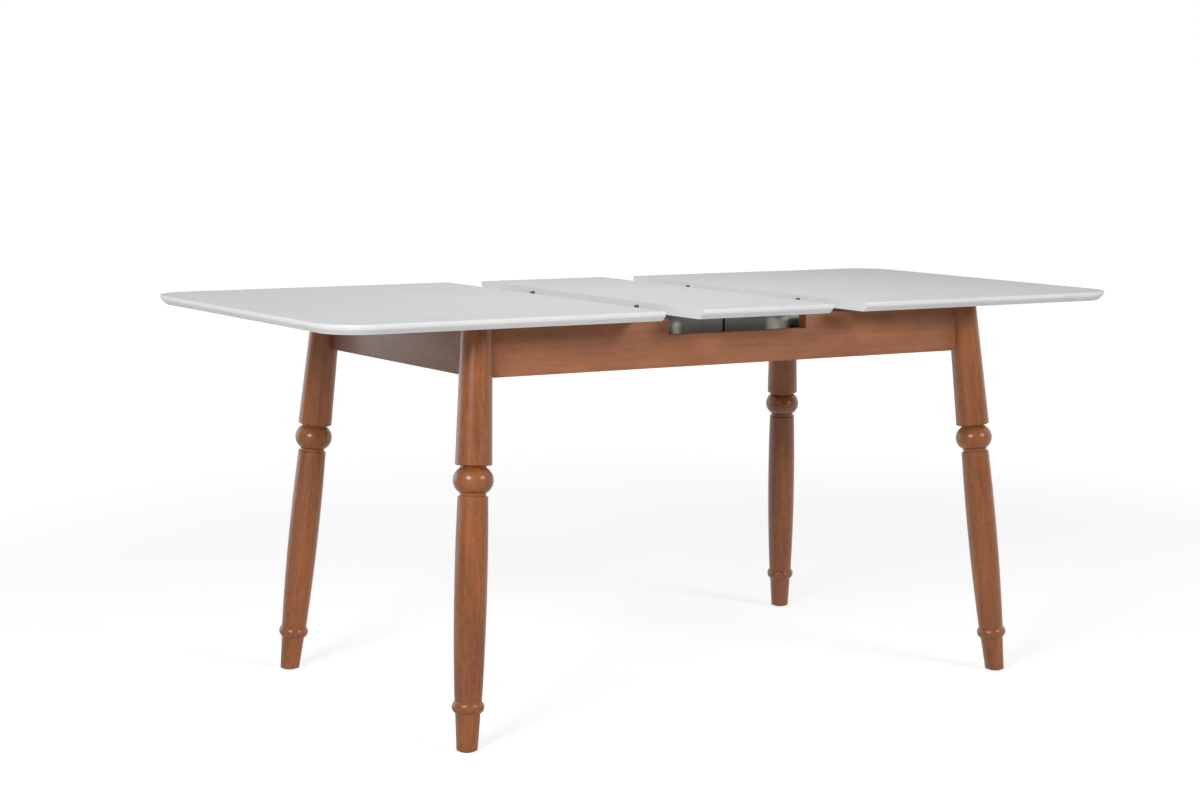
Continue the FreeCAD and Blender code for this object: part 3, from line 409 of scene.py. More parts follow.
class Slot(Enum):
    """The record's material slots."""

    LACQUER = "white_lacquer"
    APRON = "apron_wood"
    LEG = "leg_wood"
    BEECH = "plain_beech"
    DARK_STEEL = "dark_steel"
    BLACK_PLASTIC = "black_plastic"
    RUBBER = "black_rubber"
    NYLON = "glide_nylon"
    SOCKET = "socket_plastic"
    FASTENER = "fastener_steel"
    LIFT = "lift_steel"
    CARRIER = "carrier_steel"
    RAIL = "rail_steel"


ALONG_TABLE = Vector((1, 0, 0))
ACROSS_TABLE = Vector((0, 1, 0))
UPWARD = Vector((0, 0, 1))
SIDES = {"left": -1, "right": 1}
ENDS = {"front": -1, "rear": 1}
CORNERS = {f"{end}_{side}": (sx, sy) for end, sy in ENDS.items() for side, sx in SIDES.items()}
# How far a leg reaches from its foot to its top: inwards along X and Y, and up.
LEG_LEAN = Vector((0.0555, 0.0669, 0.742))


class Palette:
    """Every finish of the table, made once: one for each slot, and a leg stain for each leg's lean."""

    def __init__(self) -> None:
        """Make all the materials."""
        finishes = {
            Slot.LACQUER: Lacquer("satin_lacquer", (0.765, 0.775, 0.79), (0.735, 0.745, 0.76)),
            Slot.APRON: StainedWood(
                "apron_stain", (0.376, 0.145, 0.066), (0.258, 0.098, 0.045), ALONG_TABLE
            ),
            Slot.LEG: self.leg_stain("leg_stain", UPWARD),
            Slot.BEECH: StainedWood(
                "beech", (0.66, 0.47, 0.29), (0.52, 0.34, 0.2), ACROSS_TABLE, roughness=0.6, coat=0.0
            ),
            Slot.DARK_STEEL: Metal("dark_steel", (0.16, 0.17, 0.19), (0.09, 0.1, 0.11), roughness=0.3),
            Slot.BLACK_PLASTIC: Moulded(
                "black_plastic", (0.02, 0.02, 0.024), (0.01, 0.01, 0.012), roughness=0.6, specular=0.15
            ),
            Slot.RUBBER: Moulded("rubber", (0.035, 0.034, 0.034), (0.02, 0.02, 0.02), roughness=0.75),
            Slot.NYLON: Moulded("nylon", (0.33, 0.27, 0.22), (0.27, 0.22, 0.18), roughness=0.45),
            Slot.SOCKET: Moulded("socket_plastic", (0.74, 0.74, 0.73), (0.66, 0.66, 0.65), roughness=0.4),
            Slot.FASTENER: Metal("zinc_fastener", (0.66, 0.66, 0.63), (0.5, 0.5, 0.47), roughness=0.3),
            Slot.LIFT: Moulded("powder_coat", (0.035, 0.035, 0.036), (0.018, 0.018, 0.019), roughness=0.42),
            Slot.CARRIER: Metal(
                "carrier_sheet",
                (0.332, 0.340, 0.310),
                (0.296, 0.304, 0.276),
                roughness=0.58,
                film_roughness=0.06,
                brush_depth=0.0,
                # Painted highlight: the bends of the pressed humps are coloured lighter, standing in for
                # their reflection.
                bend_highlight=(0.86, 0.87, 0.80),
            ),
            Slot.RAIL: Metal("zinc_sheet", (0.52, 0.54, 0.51), (0.36, 0.38, 0.36)),
        }
        self.made = {slot: finish.build() for slot, finish in finishes.items()}
        # The end aprons' stain, with its grain across the table; its greyer colour is a painted sheen, the
        # white reflection of their coat seen at a slant.
        self.cross_grain_painted_sheen = StainedWood(
            "end_apron_stain_painted_sheen", (0.305, 0.162, 0.114), (0.226, 0.118, 0.083), ACROSS_TABLE
        ).build()
        self.legs = {}
        for corner, (sx, sy) in CORNERS.items():
            lean = Vector((-sx * LEG_LEAN.x, -sy * LEG_LEAN.y, LEG_LEAN.z))
            self.legs[corner] = self.leg_stain(f"{corner}_leg_stain", lean).build()

    @staticmethod
    def leg_stain(name: str, along: Vector) -> StainedWood:
        """Choose the legs' stain.

        Args:
            name: The material's name.
            along: The direction of the grain.

        Returns:
            The stain.
        """
        return StainedWood(
            name,
            (0.33, 0.108, 0.033),
            (0.175, 0.055, 0.017),
            along,
            cloud_scale=(6, 20, 20),
            cloud_share=0.6,
            streak_share=0.4,
            mottle_share=0.5,
            ring_share=0.05,
            roughness=0.4,
            specular=0.2,
            coat=0.6,
            coat_roughness=0.23,
        )

    def __getitem__(self, slot: Slot) -> bpy.types.Material:
        """Return the material of a slot."""
        return self.made[slot]


Ring = list[Vector]
Line = tuple[Vector, Vector]
# The steps of a turned outline, each a reach and a level, in metres or as shares.
Profile = tuple[tuple[float, float], ...]
# Points closer together than this become one.
WELD = 0.000001
# Faces less than the first angle apart merge. Folds past the second are eased, past the third shaded sharp.
FLAT_ANGLE = math.radians(0.4)
EDGE_ANGLE = math.radians(40)
SHADE_ANGLE = math.radians(32)
# The rings in each turn of a thread, and how steeply its crest falls away.
THREAD_STEPS = 3
THREAD_FLANK = 3
# Keeps the reach of a cross finite in the middle of an arm.
LEAST_SINE = 0.001


def ring(reach: Callable[[float], float] | float, level: float, count: int = 24) -> Ring:
    """Return a closed ring of points about Z.

    Args:
        reach: The radius, or a function that gives it for an angle.
        level: The height of the ring.
        count: The number of points.

    Returns:
        The points, in order.
    """
    turns = [math.tau * index / count for index in range(count)]
    spans = [reach(turn) if callable(reach) else reach for turn in turns]
    spots = [(span * math.cos(turn), span * math.sin(turn)) for span, turn in zip(spans, turns)]
    return [Vector((x, y, level)) for x, y in spots]


def hexagon(corner: float, most: float) -> Callable[[float], float]:
    """Return the radius by angle of a hexagon whose corners are cut back to a circle."""
    flat = corner * math.cos(math.pi / 6)
    return lambda turn: min(most, flat / math.cos((turn % (math.pi / 3)) - math.pi / 6))


def cross(arm: float, half_width: float) -> Callable[[float], float]:
    """Outline a cross.

    Args:
        arm: The reach of each arm.
        half_width: Half the width of an arm.

    Returns:
        The radius by angle.
    """

    def reach(turn: float) -> float:
        """Return the radius at one angle."""
        within = (turn + math.pi / 4) % (math.pi / 2) - math.pi / 4
        return min(arm / math.cos(within), half_width / max(abs(math.sin(within)), LEAST_SINE))

    return reach


def thread(core: float, crest: float, pitch: float, level: float) -> Callable[[float], float]:
    """Outline a screw thread where a level cuts it.

    Args:
        core: The radius between the crests.
        crest: The radius of the crests.
        pitch: The distance from crest to crest.
        level: The height of the cut.

    Returns:
        The radius by angle.
    """

    def reach(turn: float) -> float:
        """Return the radius at one angle."""
        phase = (level / pitch - turn / math.tau) % 1
        return core + (crest - core) * max(0.0, 1 - abs(phase - 0.5) * THREAD_FLANK)

    return reach


def stand(line: Line) -> Matrix:
    """Return the frame whose Z runs from the start of a line to its end."""
    start, end = line
    return Matrix.Translation(start) @ (end - start).to_track_quat("Z", "Y").to_matrix().to_4x4()


class Blank:
    """A mesh being made: skins over stacks of rings, or a copy of a CAD node whose edges get eased."""

    def __init__(self, node: str | None = None) -> None:
        """Start the mesh.

        Args:
            node: The CAD node whose shape is copied, or None for an empty mesh.
        """
        self.mesh = bmesh.new()
        if node is not None:
            self.mesh.from_mesh(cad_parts[node].data)
            bmesh.ops.remove_doubles(self.mesh, verts=self.mesh.verts[:], dist=WELD)

    def skin(self, rings: list[Ring], place: Matrix, looped: bool = False) -> None:
        """Skin a stack of rings.

        Args:
            rings: Rings with the same number of points, from one end to the other.
            place: Where the stack stands and how it is turned.
            looped: Whether the last ring joins the first, as round a bore. Otherwise both ends are capped.
        """
        rows = [[self.mesh.verts.new(place @ point) for point in points] for points in rings]
        following = rows[1:] + rows[:1] if looped else rows[1:]
        for first, second in zip(rows, following):
            for index in range(len(first)):
                after = (index + 1) % len(first)
                self.mesh.faces.new((first[index], first[after], second[after], second[index]))
        if not looped:
            self.mesh.faces.new(rows[0][::-1])
            self.mesh.faces.new(rows[-1])

    def ease(self, width: float, steps: int = 2) -> None:
        """Take the sharp edges off.

        Args:
            width: How far each edge is cut back.
            steps: The number of facets across it.
        """
        parts = {"verts": self.mesh.verts[:], "edges": self.mesh.edges[:]}
        bmesh.ops.dissolve_limit(self.mesh, angle_limit=FLAT_ANGLE, **parts)
        folds = [edge for edge in self.mesh.edges if edge.is_manifold]
        sharp = [edge for edge in folds if edge.calc_face_angle() > EDGE_ANGLE]
        bmesh.ops.bevel(
            self.mesh,
            geom=sharp,
            offset=width,
            segments=steps,
            profile=0.5,
            affect="EDGES",
            clamp_overlap=True,
        )

    def piece(
        self, name: str, finish: bpy.types.Material, slot: Slot, body: str, *nodes: str
    ) -> bpy.types.Object:
        """Turn the blank into a piece of the table.

        Args:
            name: The piece's name.
            finish: Its material.
            slot: The record's slot of its finish. Not used.
            body: The CAD body that it rides on.
            nodes: The CAD nodes that it stands for.

        Returns:
            The piece.
        """
        bmesh.ops.recalc_face_normals(self.mesh, faces=self.mesh.faces[:])
        mesh = bpy.data.meshes.new(name)
        self.mesh.to_mesh(mesh)
        self.mesh.free()
        mesh.shade_smooth()
        mesh.set_sharp_from_angle(angle=SHADE_ANGLE)
        mesh.materials.append(finish)
        made = bpy.data.objects.new(name, mesh)
        bpy.context.scene.collection.objects.link(made)
        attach(made, body)
        if nodes:
            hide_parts(*nodes)
        log.info("%s: %d faces, on %s", name, len(mesh.polygons), body)
        return made


def solid_lines(node: str, axis: Callable[[Vector], Vector]) -> list[Line]:
    """Find the middle line of each separate solid of a CAD node.

    Args:
        node: The node's name.
        axis: The direction of a solid's line, from the middle of its box.

    Returns:
        The start and the end of each line.
    """
    shape = Blank(node).mesh
    waiting = set(shape.verts)
    lines = []
    while waiting:
        found = [waiting.pop()]
        points = []
        while found:
            vert = found.pop()
            points.append(vert.co.copy())
            beside = [edge.other_vert(vert) for edge in vert.link_edges]
            fresh = [other for other in beside if other in waiting]
            waiting.difference_update(fresh)
            found += fresh
        low = Vector([min(point[index] for point in points) for index in range(3)])
        high = Vector([max(point[index] for point in points) for index in range(3)])
        middle = (low + high) / 2
        along = axis(middle).normalized()
        reach = [(point - middle).dot(along) for point in points]
        lines.append((middle + along * min(reach), middle + along * max(reach)))
    shape.free()
    return lines


def paint(finish: bpy.types.Material, *nodes: str) -> None:
    """Put a finish on CAD nodes that keep their own shapes.

    Args:
        finish: The material.
        nodes: The nodes' names.
    """
    for node in nodes:
        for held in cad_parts[node].material_slots:
            held.material = finish
        log.info("%s: %s", node, finish.name)


@dataclass
class Assembly:
    """A group of pieces that share a palette."""

    palette: Palette

    def eased(
        self, node: str, slot: Slot, body: str, width: float, finish: bpy.types.Material | None = None
    ) -> None:
        """Stand a copy with eased edges in for a CAD node.

        Args:
            node: The node's name.
            slot: The record's slot that the copy takes.
            body: The body that it rides on.
            width: How far its edges are cut back.
            finish: Its material, where it isn't the slot's own.
        """
        blank = Blank(node)
        blank.ease(width)
        blank.piece(f"{node}_eased", finish or self.palette[slot], slot, body, node)


@dataclass
class WoodScrews(Assembly):
    """Pan-head wood screws with a cross recess and a coarse thread."""

    head_radius: float = 0.004
    head_thick: float = 0.0023
    shank_radius: float = 0.002
    core_radius: float = 0.0014
    pitch: float = 0.002
    recess_arm: float = 0.002
    recess_half: float = 0.00042
    recess_deep: float = 0.0014
    recess_floor: tuple[float, float] = (0.5, 0.6)
    recess_lip: float = 0.00008
    crown_reach: float = 1.2
    crown_level: float = 0.00002
    head_dome: Profile = ((0.78, 0.12), (0.92, 0.34), (1.0, 0.66), (1.0, 1.0))
    plain_pitches: float = 1.5
    tip_taper: tuple[float, float] = (0.8, 0.1)

    def build(self, node: str, body: str, inward: Vector) -> None:
        """Make the screws of one CAD node.

        Args:
            node: The CAD node that they stand for.
            body: The body that they ride on.
            inward: The direction from head to tip.
        """
        blank = Blank()
        for line in solid_lines(node, lambda middle: inward):
            blank.skin(self.rings((line[1] - line[0]).length), stand(line))
        blank.piece(f"{node}_threaded", self.palette[Slot.FASTENER], Slot.FASTENER, body, node)

    def rings(self, long: float) -> list[Ring]:
        """Stack the rings of a screw.

        Args:
            long: The screw's length.

        Returns:
            The rings from the floor of the recess to the tip.
        """
        arm_share, half_share = self.recess_floor
        rings = [
            ring(cross(self.recess_arm * arm_share, self.recess_half * half_share), self.recess_deep),
            ring(cross(self.recess_arm, self.recess_half), self.recess_lip),
            ring(self.recess_arm * self.crown_reach, self.crown_level),
        ]
        for share, level in self.head_dome:
            rings.append(ring(self.head_radius * share, self.head_thick * level))
        rings.append(ring(self.shank_radius, self.head_thick))
        level = self.head_thick + self.pitch
        rings.append(ring(self.shank_radius, level))
        while level < long - self.pitch * self.plain_pitches:
            rings.append(ring(thread(self.core_radius, self.shank_radius, self.pitch, level), level))
            level += self.pitch / THREAD_STEPS
        shoulder, point = self.tip_taper
        rings.append(ring(self.core_radius * shoulder, long - self.pitch))
        rings.append(ring(self.core_radius * point, long))
        return rings


@dataclass
class Boards(Assembly):
    """The three white boards, with the pins and lined sockets of their meeting edges."""

    pin_radius: float = 0.003
    nose_long: float = 0.0022
    socket_radius: float = 0.00425
    bore_radius: float = 0.0033
    mouth_long: float = 0.0006
    nose_steps: tuple[float, ...] = (4, 20, 38, 56, 74, 90)

    def build(self) -> None:
        """Dress the boards and make the pins and sockets."""
        paint(self.palette[Slot.LACQUER], "left_top_board", "leaf_board", "right_top_board")
        self.pins("right_top_pins", "right_top")
        self.pins("leaf_pins", "leaf")
        self.sockets("left_top_sockets", "left_top")
        self.sockets("leaf_sockets", "leaf")

    def pins(self, node: str, body: str) -> None:
        """Make steel pins with rounded noses.

        Args:
            node: The CAD node that they stand for.
            body: The body that they ride on.
        """
        blank = Blank()
        for line in solid_lines(node, lambda middle: ALONG_TABLE):
            long = (line[1] - line[0]).length
            steps = [math.radians(angle) for angle in self.nose_steps]
            nose = [
                ring(self.pin_radius * math.sin(step), self.nose_long * (1 - math.cos(step)))
                for step in steps
            ]
            blank.skin(nose + [ring(self.pin_radius, long)], stand(line))
        blank.piece(f"{node}_nosed", self.palette[Slot.DARK_STEEL], Slot.DARK_STEEL, body, node)

    def sockets(self, node: str, body: str) -> None:
        """Make bushes with a chamfered mouth.

        Args:
            node: The CAD node that they stand for.
            body: The body that they ride on.
        """
        blank = Blank()
        for line in solid_lines(node, lambda middle: -ALONG_TABLE):
            long = (line[1] - line[0]).length
            rings = [
                ring(self.socket_radius, 0.0),
                ring(self.bore_radius + self.mouth_long, 0.0),
                ring(self.bore_radius, self.mouth_long),
                ring(self.bore_radius, long),
                ring(self.socket_radius, long),
            ]
            blank.skin(rings, stand(line), looped=True)
        blank.piece(f"{node}_lined", self.palette[Slot.SOCKET], Slot.SOCKET, body, node)


@dataclass
class ApronFrame(Assembly):
    """The aprons, corner blocks, cross rails and pads."""

    apron_ease: float = 0.0008
    bar_ease: float = 0.0012
    pad_ease: float = 0.0009

    def build(self) -> None:
        """Make every wooden piece of the frame with eased edges."""
        for end in ENDS:
            self.eased(f"{end}_apron", Slot.APRON, "frame", self.apron_ease)
        for side in SIDES:
            # The end aprons take the stain with the painted grey sheen.
            self.eased(f"{side}_end_apron", Slot.APRON, "frame", self.apron_ease, self.palette.cross_grain_painted_sheen)
            for row in ("inner", "outer"):
                self.eased(f"{row}_{side}_cross_rail", Slot.BEECH, "frame", self.bar_ease)
        for corner in CORNERS:
            self.eased(f"{corner}_corner_block", Slot.BEECH, "frame", self.bar_ease)
        self.eased("top_pads", Slot.NYLON, "frame", self.pad_ease)


@dataclass
class TurnedLegs(Assembly):
    """The four leaning legs, their bolts, washers and nuts, and the glides under their feet."""

    bolt_radius: float = 0.004
    bolt_core: float = 0.0034
    bolt_pitch: float = 0.00125
    bolt_tail: float = 0.026
    washer_radius: float = 0.010
    nut_corner: float = 0.0075
    clear_bore: float = 0.0043
    nut_bore: float = 0.00405
    glide_radius: float = 0.013
    glide_tall: float = 0.002
    nail_radius: float = 0.0015
    bolt_lead: float = 0.0015
    bolt_end: float = 0.95
    washer_round: tuple[float, float] = (0.97, 0.7)
    nut_cut_back: float = 0.92
    nut_bevel: float = 0.0006
    bore_flare: float = 1.12
    bore_bevel: float = 0.0005
    nail_taper: float = 0.003
    nail_point: float = 0.0001
    bolt_sides: int = 16
    washer_sides: int = 32
    nut_sides: int = 36
    glide_sides: int = 48
    nail_head: Profile = ((0.0002, 0.0007), (0.0031, 0.0006), (0.0033, 0.0004))
    glide_dish: Profile = ((0.42, 0.0003), (0.62, 0.0), (0.90, 0.0), (0.97, 0.0004), (1.0, 0.001))

    def build(self) -> None:
        """Dress the legs and make what is fixed to them."""
        for corner in CORNERS:
            paint(self.palette.legs[corner], f"{corner}_leg")
        self.bolts()
        self.washers()
        self.nuts()
        self.glides()

    @staticmethod
    def inward(middle: Vector) -> Vector:
        """Return the level direction from a corner towards the middle of the table."""
        return Vector((-math.copysign(1, middle.x), -math.copysign(1, middle.y), 0))

    def bolts(self) -> None:
        """Make the hanger bolts, threaded where the nut runs."""
        blank = Blank()
        sides = self.bolt_sides
        for line in solid_lines("leg_bolts", self.inward):
            long = (line[1] - line[0]).length
            rings = [ring(self.bolt_core, 0.0, sides), ring(self.bolt_radius, self.bolt_lead, sides)]
            level = long - self.bolt_tail
            rings.append(ring(self.bolt_radius, level, sides))
            while level < long - self.bolt_pitch:
                outline = thread(self.bolt_core, self.bolt_radius, self.bolt_pitch, level)
                rings.append(ring(outline, level, sides))
                level += self.bolt_pitch / THREAD_STEPS
            rings.append(ring(self.bolt_core * self.bolt_end, long, sides))
            blank.skin(rings, stand(line))
        blank.piece("leg_bolts_threaded", self.palette[Slot.FASTENER], Slot.FASTENER, "frame", "leg_bolts")

    def washers(self) -> None:
        """Make the washers, with edges rounded by the press."""
        blank = Blank()
        sides = self.washer_sides
        for line in solid_lines("leg_washers", self.inward):
            thick = (line[1] - line[0]).length
            wide = self.washer_radius
            reach, level = self.washer_round
            rings = [
                ring(self.clear_bore, 0.0, sides),
                ring(wide, 0.0, sides),
                ring(wide, thick * level, sides),
                ring(wide * reach, thick, sides),
                ring(self.clear_bore, thick, sides),
            ]
            blank.skin(rings, stand(line), looped=True)
        steel = self.palette[Slot.FASTENER]
        blank.piece("leg_washers_pressed", steel, Slot.FASTENER, "frame", "leg_washers")

    def nuts(self) -> None:
        """Make the hexagon nuts with chamfered corners."""
        blank = Blank()
        sides = self.nut_sides
        cut_back = hexagon(self.nut_corner, self.nut_corner * self.nut_cut_back)
        full = hexagon(self.nut_corner, self.nut_corner)
        for line in solid_lines("leg_nuts", self.inward):
            thick = (line[1] - line[0]).length
            rings = [
                ring(self.nut_bore, self.bore_bevel, sides),
                ring(self.nut_bore * self.bore_flare, 0.0, sides),
                ring(cut_back, 0.0, sides),
                ring(full, self.nut_bevel, sides),
                ring(full, thick - self.nut_bevel, sides),
                ring(cut_back, thick, sides),
                ring(self.nut_bore * self.bore_flare, thick, sides),
                ring(self.nut_bore, thick - self.bore_bevel, sides),
            ]
            blank.skin(rings, stand(line), looped=True)
        blank.piece("leg_nuts_chamfered", self.palette[Slot.FASTENER], Slot.FASTENER, "frame", "leg_nuts")

    def glides(self) -> None:
        """Make the dished nylon glides with their nails."""
        blank = Blank()
        sides = self.glide_sides
        wide = self.glide_radius
        for line in solid_lines("foot_glides", lambda middle: UPWARD):
            long = (line[1] - line[0]).length
            rings = [ring(reach, level, sides) for reach, level in self.nail_head]
            rings += [ring(wide * share, level, sides) for share, level in self.glide_dish]
            rings.append(ring(wide, self.glide_tall, sides))
            rings.append(ring(self.nail_radius, self.glide_tall, sides))
            rings.append(ring(self.nail_radius, long - self.nail_taper, sides))
            rings.append(ring(self.nail_point, long, sides))
            blank.skin(rings, stand(line))
        blank.piece("foot_glides_dished", self.palette[Slot.NYLON], Slot.NYLON, "frame", "foot_glides")


@dataclass
class Slides(Assembly):
    """The three-member slides, the brackets that carry the tops, and their screws and stops."""

    bumper_ease: float = 0.0015
    plate_ease: float = 0.0004

    def build(self) -> None:
        """Dress the rolled members and make the stops and screws."""
        screws = WoodScrews(self.palette)
        for corner in CORNERS:
            side = corner.split("_")[1]
            paint(self.palette[Slot.RAIL], f"{corner}_rail", f"{corner}_slide", f"{corner}_runner")
            self.eased(f"{corner}_bracket", Slot.RAIL, f"{side}_top", self.plate_ease)
        self.eased("rail_bumpers", Slot.RUBBER, "frame", self.bumper_ease)
        screws.build("rail_screws", "frame", -UPWARD)
        for side in SIDES:
            screws.build(f"{side}_top_screws", f"{side}_top", UPWARD)


@dataclass
class LeafLift(Assembly):
    """The rockers and their pins, the bearings on the rails, and the slotted lugs under the leaf."""

    block_ease: float = 0.0008
    plate_ease: float = 0.0005

    def build(self) -> None:
        """Make the lift's pieces with eased edges."""
        self.eased("shaft_bearings", Slot.BLACK_PLASTIC, "frame", self.block_ease)
        self.eased("lift_lugs", Slot.LIFT, "leaf", self.plate_ease)
        for side in SIDES:
            self.eased(f"{side}_rocker", Slot.LIFT, f"{side}_lift_rocker", self.plate_ease)
            self.eased(f"{side}_rocker_pins", Slot.LIFT, f"{side}_lift_rocker", self.plate_ease)
        WoodScrews(self.palette).build("lug_screws", "leaf", UPWARD)


@dataclass
class LeafCarriers(Assembly):
    """The pressed plates behind the notches, with their spacers, joint strips, screws and guide shoes."""

    shoe_ease: float = 0.001
    strip_ease: float = 0.0003
    split_half: float = 0.003
    sheet: float = 0.002
    fold_radius: float = 0.004
    fold_steps: tuple[float, ...] = (90, 60, 30, 0)
    press_deep: float = 0.008
    press_start: float = 0.094
    press_run: float = 0.034
    press_top: float = 0.736
    press_fall: float = 0.016
    stations: int = 70
    levels: int = 22

    def build(self) -> None:
        """Make the plates, and dress the small pieces on them."""
        for end, sy in ENDS.items():
            self.plates(end, sy)
        self.eased("guide_shoes", Slot.BLACK_PLASTIC, "leaf", self.shoe_ease)
        # The spacers are real packing pieces; their black also stands in for the shade band under the leaf,
        # a painted shade.
        self.eased("carrier_spacers", Slot.BLACK_PLASTIC, "leaf", self.strip_ease)
        WoodScrews(self.palette).build("carrier_screws", "leaf", UPWARD)

    def plates(self, end: str, sy: int) -> None:
        """Make the two folded plates of one end, each pressed out into a rounded hump at its tip.

        Args:
            end: "front" or "rear".
            sy: The sign of that end along Y.
        """
        low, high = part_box(f"{end}_leaf_carriers")
        blank = Blank()
        for sx in SIDES.values():
            rings = []
            for index in range(self.stations + 1):
                x = self.split_half + (high.x - self.split_half) * index / self.stations
                rings.append([Vector((sx * x, sy * y, z)) for y, z in self.section(x, low, high)])
            blank.skin(rings, Matrix.Identity(4))
        name = f"{end}_leaf_carriers"
        blank.piece(f"{name}_pressed", self.palette[Slot.CARRIER], Slot.CARRIER, "leaf", name)

    def section(self, x: float, low: Vector, high: Vector) -> list[tuple[float, float]]:
        """Return a plate's closed outline across the table, from the flange down the face and back inside.

        Args:
            x: The distance from the table's middle.
            low: The low corner of the CAD plates' box.
            high: The high corner of it.

        Returns:
            Distances from the table's long axis, with heights.
        """
        reach = max(abs(low.y), abs(high.y))
        face = reach - self.press_deep
        edge = min(abs(low.y), abs(high.y))
        bend = self.fold_radius
        outer = [(edge, high.z)]
        inner = [(edge, high.z - self.sheet)]
        for angle in self.fold_steps:
            sine, cosine = math.sin(math.radians(angle)), math.cos(math.radians(angle))
            outer.append((face - bend + bend * cosine, high.z - bend + bend * sine))
            inner.append((face - bend + self.sheet * cosine, high.z - bend + self.sheet * sine))
        for index in range(1, self.levels + 1):
            z = high.z - bend + (low.z - high.z + bend) * index / self.levels
            hump = self.hump(x, z)
            outer.append((face + hump, z))
            inner.append((face + hump - self.sheet, z))
        return outer + inner[::-1]

    def hump(self, x: float, z: float) -> float:
        """Find how far a plate is pressed out.

        Args:
            x: The distance from the table's middle.
            z: The height.

        Returns:
            The depth of the pressing there.
        """
        along = min(max((x - self.press_start) / self.press_run, 0), 1)
        down = min(max((self.press_top - z) / self.press_fall, 0), 1)
        inside = max(1 - math.hypot(1 - along, 1 - down), 0)
        return self.press_deep * inside * inside * (3 - 2 * inside)


@dataclass(frozen=True)
class Softbox:
    """One softbox that faces the table.

    Its swing is in degrees from the camera's side, positive to the left, and its height in degrees above the
    horizon. Its reach is in metres from the table, its power in watts.
    """

    name: str
    swing: float
    height: float
    reach: float
    size: tuple[float, float]
    power: float
    tint: Colour


WARM = (1, 0.99, 0.97)
COOL = (0.86, 0.93, 1)
NEUTRAL = (1, 1, 1)
SOFTBOXES = (
    Softbox("front_left", swing=25, height=23, reach=5.5, size=(1.6, 1.45), power=184, tint=WARM),
    Softbox("front_right", swing=-56, height=24, reach=7.0, size=(2.2, 1.9), power=195, tint=WARM),
    Softbox("rear_left", swing=114, height=8, reach=4.0, size=(3.0, 2.4), power=26, tint=COOL),
    Softbox("rear_right", swing=-120, height=12, reach=4.0, size=(3.0, 2.4), power=8, tint=COOL),
    Softbox("overhead", swing=0, height=89, reach=1.36, size=(1.1, 0.9), power=4.4, tint=NEUTRAL),
)


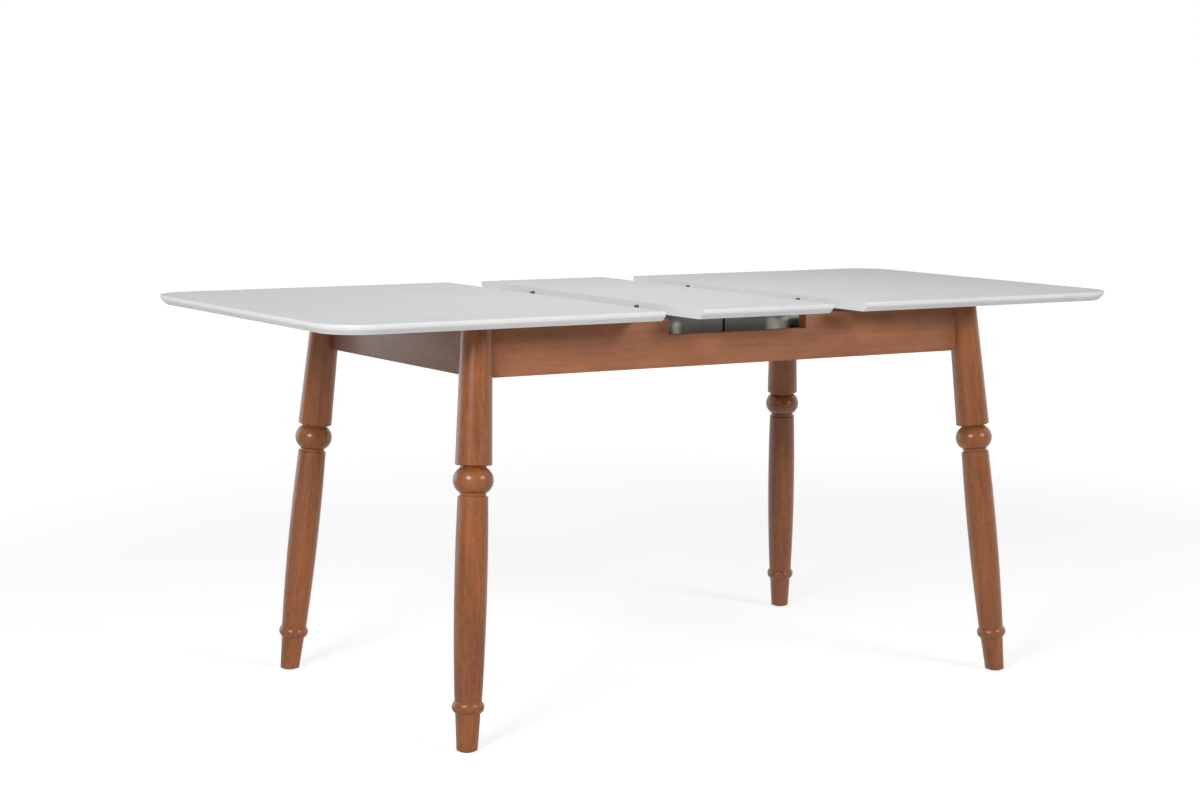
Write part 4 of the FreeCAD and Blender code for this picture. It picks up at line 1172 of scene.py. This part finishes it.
@dataclass
class Studio:
    """The pale floor, the even surroundings, the softboxes and the camera."""

    floor_reach: float = 30.0
    floor_colour: Colour = (0.78, 0.78, 0.77)
    floor_shown: Colour = (0.38, 0.38, 0.38)
    floor_roughness: float = 0.9
    lift_near: float = 0.78
    near_reach: float = 1.6
    far_reach: float = 5.0
    sky_level: float = 0.13
    front_level: float = 0.15
    front_soft: float = 0.6
    lamp_aim: float = 0.5
    camera_place: Vector = field(default_factory=lambda: Vector((-2.6009, -3.9048, 1.1117)))
    yaw: float = 0.56776
    pitch: float = 0.12063
    roll: float = 0.009
    focal_pixels: float = 2379.08
    image_width: int = 1200
    sensor: float = 36.0

    def build(self) -> None:
        """Make the whole studio."""
        self.floor()
        self.surroundings()
        self.softboxes()
        self.camera()

    def shown_to_lens(self, recipe: Recipe, spot: Value) -> Value:
        """Return how much of the white surroundings a ray meets.

        Args:
            recipe: The tree of the floor or the world.
            spot: Where the ray ends, seen from the middle of the table.

        Returns:
            1 for camera and transmitted rays, less for reflections of the room's front, 0 for the others.
        """
        kinds = [
            recipe.node("ShaderNodeLightPath", None, None, f"Is {kind} Ray")
            for kind in ("Camera", "Glossy", "Transmission")
        ]
        front = Vector((-math.sin(self.yaw), -math.cos(self.yaw), 0))
        facing = recipe.vector("DOT_PRODUCT", recipe.vector("NORMALIZE", spot), front, "Value")
        lit = recipe.fade(facing, -self.front_soft, self.front_soft, 1.0, self.front_level)
        return kinds[0] + kinds[1] * lit + kinds[2]

    def floor(self) -> None:
        """Lay the floor, which keeps the table's shadow."""
        mesh = bpy.data.meshes.new("floor")
        grid = bmesh.new()
        bmesh.ops.create_grid(grid, x_segments=1, y_segments=1, size=self.floor_reach)
        grid.to_mesh(mesh)
        grid.free()
        ground = bpy.data.objects.new("floor", mesh)
        bpy.context.scene.collection.objects.link(ground)
        recipe = material("pale_floor")
        spot = recipe.place(ALONG_TABLE)
        away = recipe.vector("LENGTH", spot, result="Value")
        shown = self.shown_to_lens(recipe, spot)
        lift = recipe.fade(away, self.near_reach, self.far_reach, self.lift_near, 1.0) * shown
        recipe.shader(
            Base_Color=recipe.blend(shown, self.floor_colour, self.floor_shown),
            Roughness=self.floor_roughness,
            Specular_IOR_Level=0.0,
            Emission_Color=recipe.blend(lift, (0, 0, 0), (1, 1, 1)),
            Emission_Strength=1.0,
        )
        mesh.materials.append(recipe.owner)

    def surroundings(self) -> None:
        """Make the world: white behind the table, and an even light on it."""
        world = bpy.data.worlds.new("studio")
        bpy.context.scene.world = world
        recipe = Recipe(world)
        seen = self.shown_to_lens(recipe, recipe.node("ShaderNodeTexCoord", None, None, "Generated"))
        level = seen * (1 - self.sky_level) + self.sky_level
        lit = recipe.node("ShaderNodeBackground", None, {"Color": (1, 1, 1, 1), "Strength": level})
        recipe.node("ShaderNodeOutputWorld", None, {"Surface": lit})

    def softboxes(self) -> None:
        """Hang every softbox by its direction from the table, as the camera sees it."""
        for box in SOFTBOXES:
            self.hang(box)

    def hang(self, box: Softbox) -> None:
        """Hang one softbox.

        Args:
            box: What hangs there, and where.
        """
        lamp = bpy.data.lights.new(box.name, "AREA")
        lamp.shape = "RECTANGLE"
        lamp.size, lamp.size_y = box.size
        lamp.energy = box.power
        lamp.color = box.tint
        bearing = self.yaw + math.radians(box.swing)
        rise = math.radians(box.height)
        back = Vector((-math.sin(bearing), -math.cos(bearing), math.tan(rise))).normalized()
        hung = bpy.data.objects.new(box.name, lamp)
        hung.visible_camera = False
        hung.location = Vector((0, 0, self.lamp_aim)) + back * box.reach
        hung.rotation_euler = back.to_track_quat("Z", "Y").to_euler()
        bpy.context.scene.collection.objects.link(hung)

    def camera(self) -> None:
        """Set the camera up at a seated person's eye height, in front of the table's left half."""
        ahead = Vector(
            (
                math.sin(self.yaw) * math.cos(self.pitch),
                math.cos(self.yaw) * math.cos(self.pitch),
                -math.sin(self.pitch),
            )
        )
        level = Vector((math.cos(self.yaw), -math.sin(self.yaw), 0))
        upright = level.cross(ahead)
        right = level * math.cos(self.roll) + upright * math.sin(self.roll)
        up = upright * math.cos(self.roll) - level * math.sin(self.roll)
        lens = bpy.data.cameras.new("camera")
        lens.sensor_width = self.sensor
        lens.lens = self.sensor * self.focal_pixels / self.image_width
        held = bpy.data.objects.new("camera", lens)
        turn = Matrix((right, up, -ahead)).transposed().to_4x4()
        held.matrix_world = Matrix.Translation(self.camera_place) @ turn
        bpy.context.scene.collection.objects.link(held)
        bpy.context.scene.camera = held
        bpy.context.scene.view_settings.view_transform = "Standard"


def main() -> None:
    """Build the studio and every sub-assembly of the table, in order."""
    logging.basicConfig(level=logging.INFO, format="%(name)s: %(message)s")
    Studio().build()
    palette = Palette()
    for assembly in (Boards, ApronFrame, TurnedLegs, Slides, LeafLift, LeafCarriers):
        assembly(palette).build()


if __name__ == "__main__":
    main()
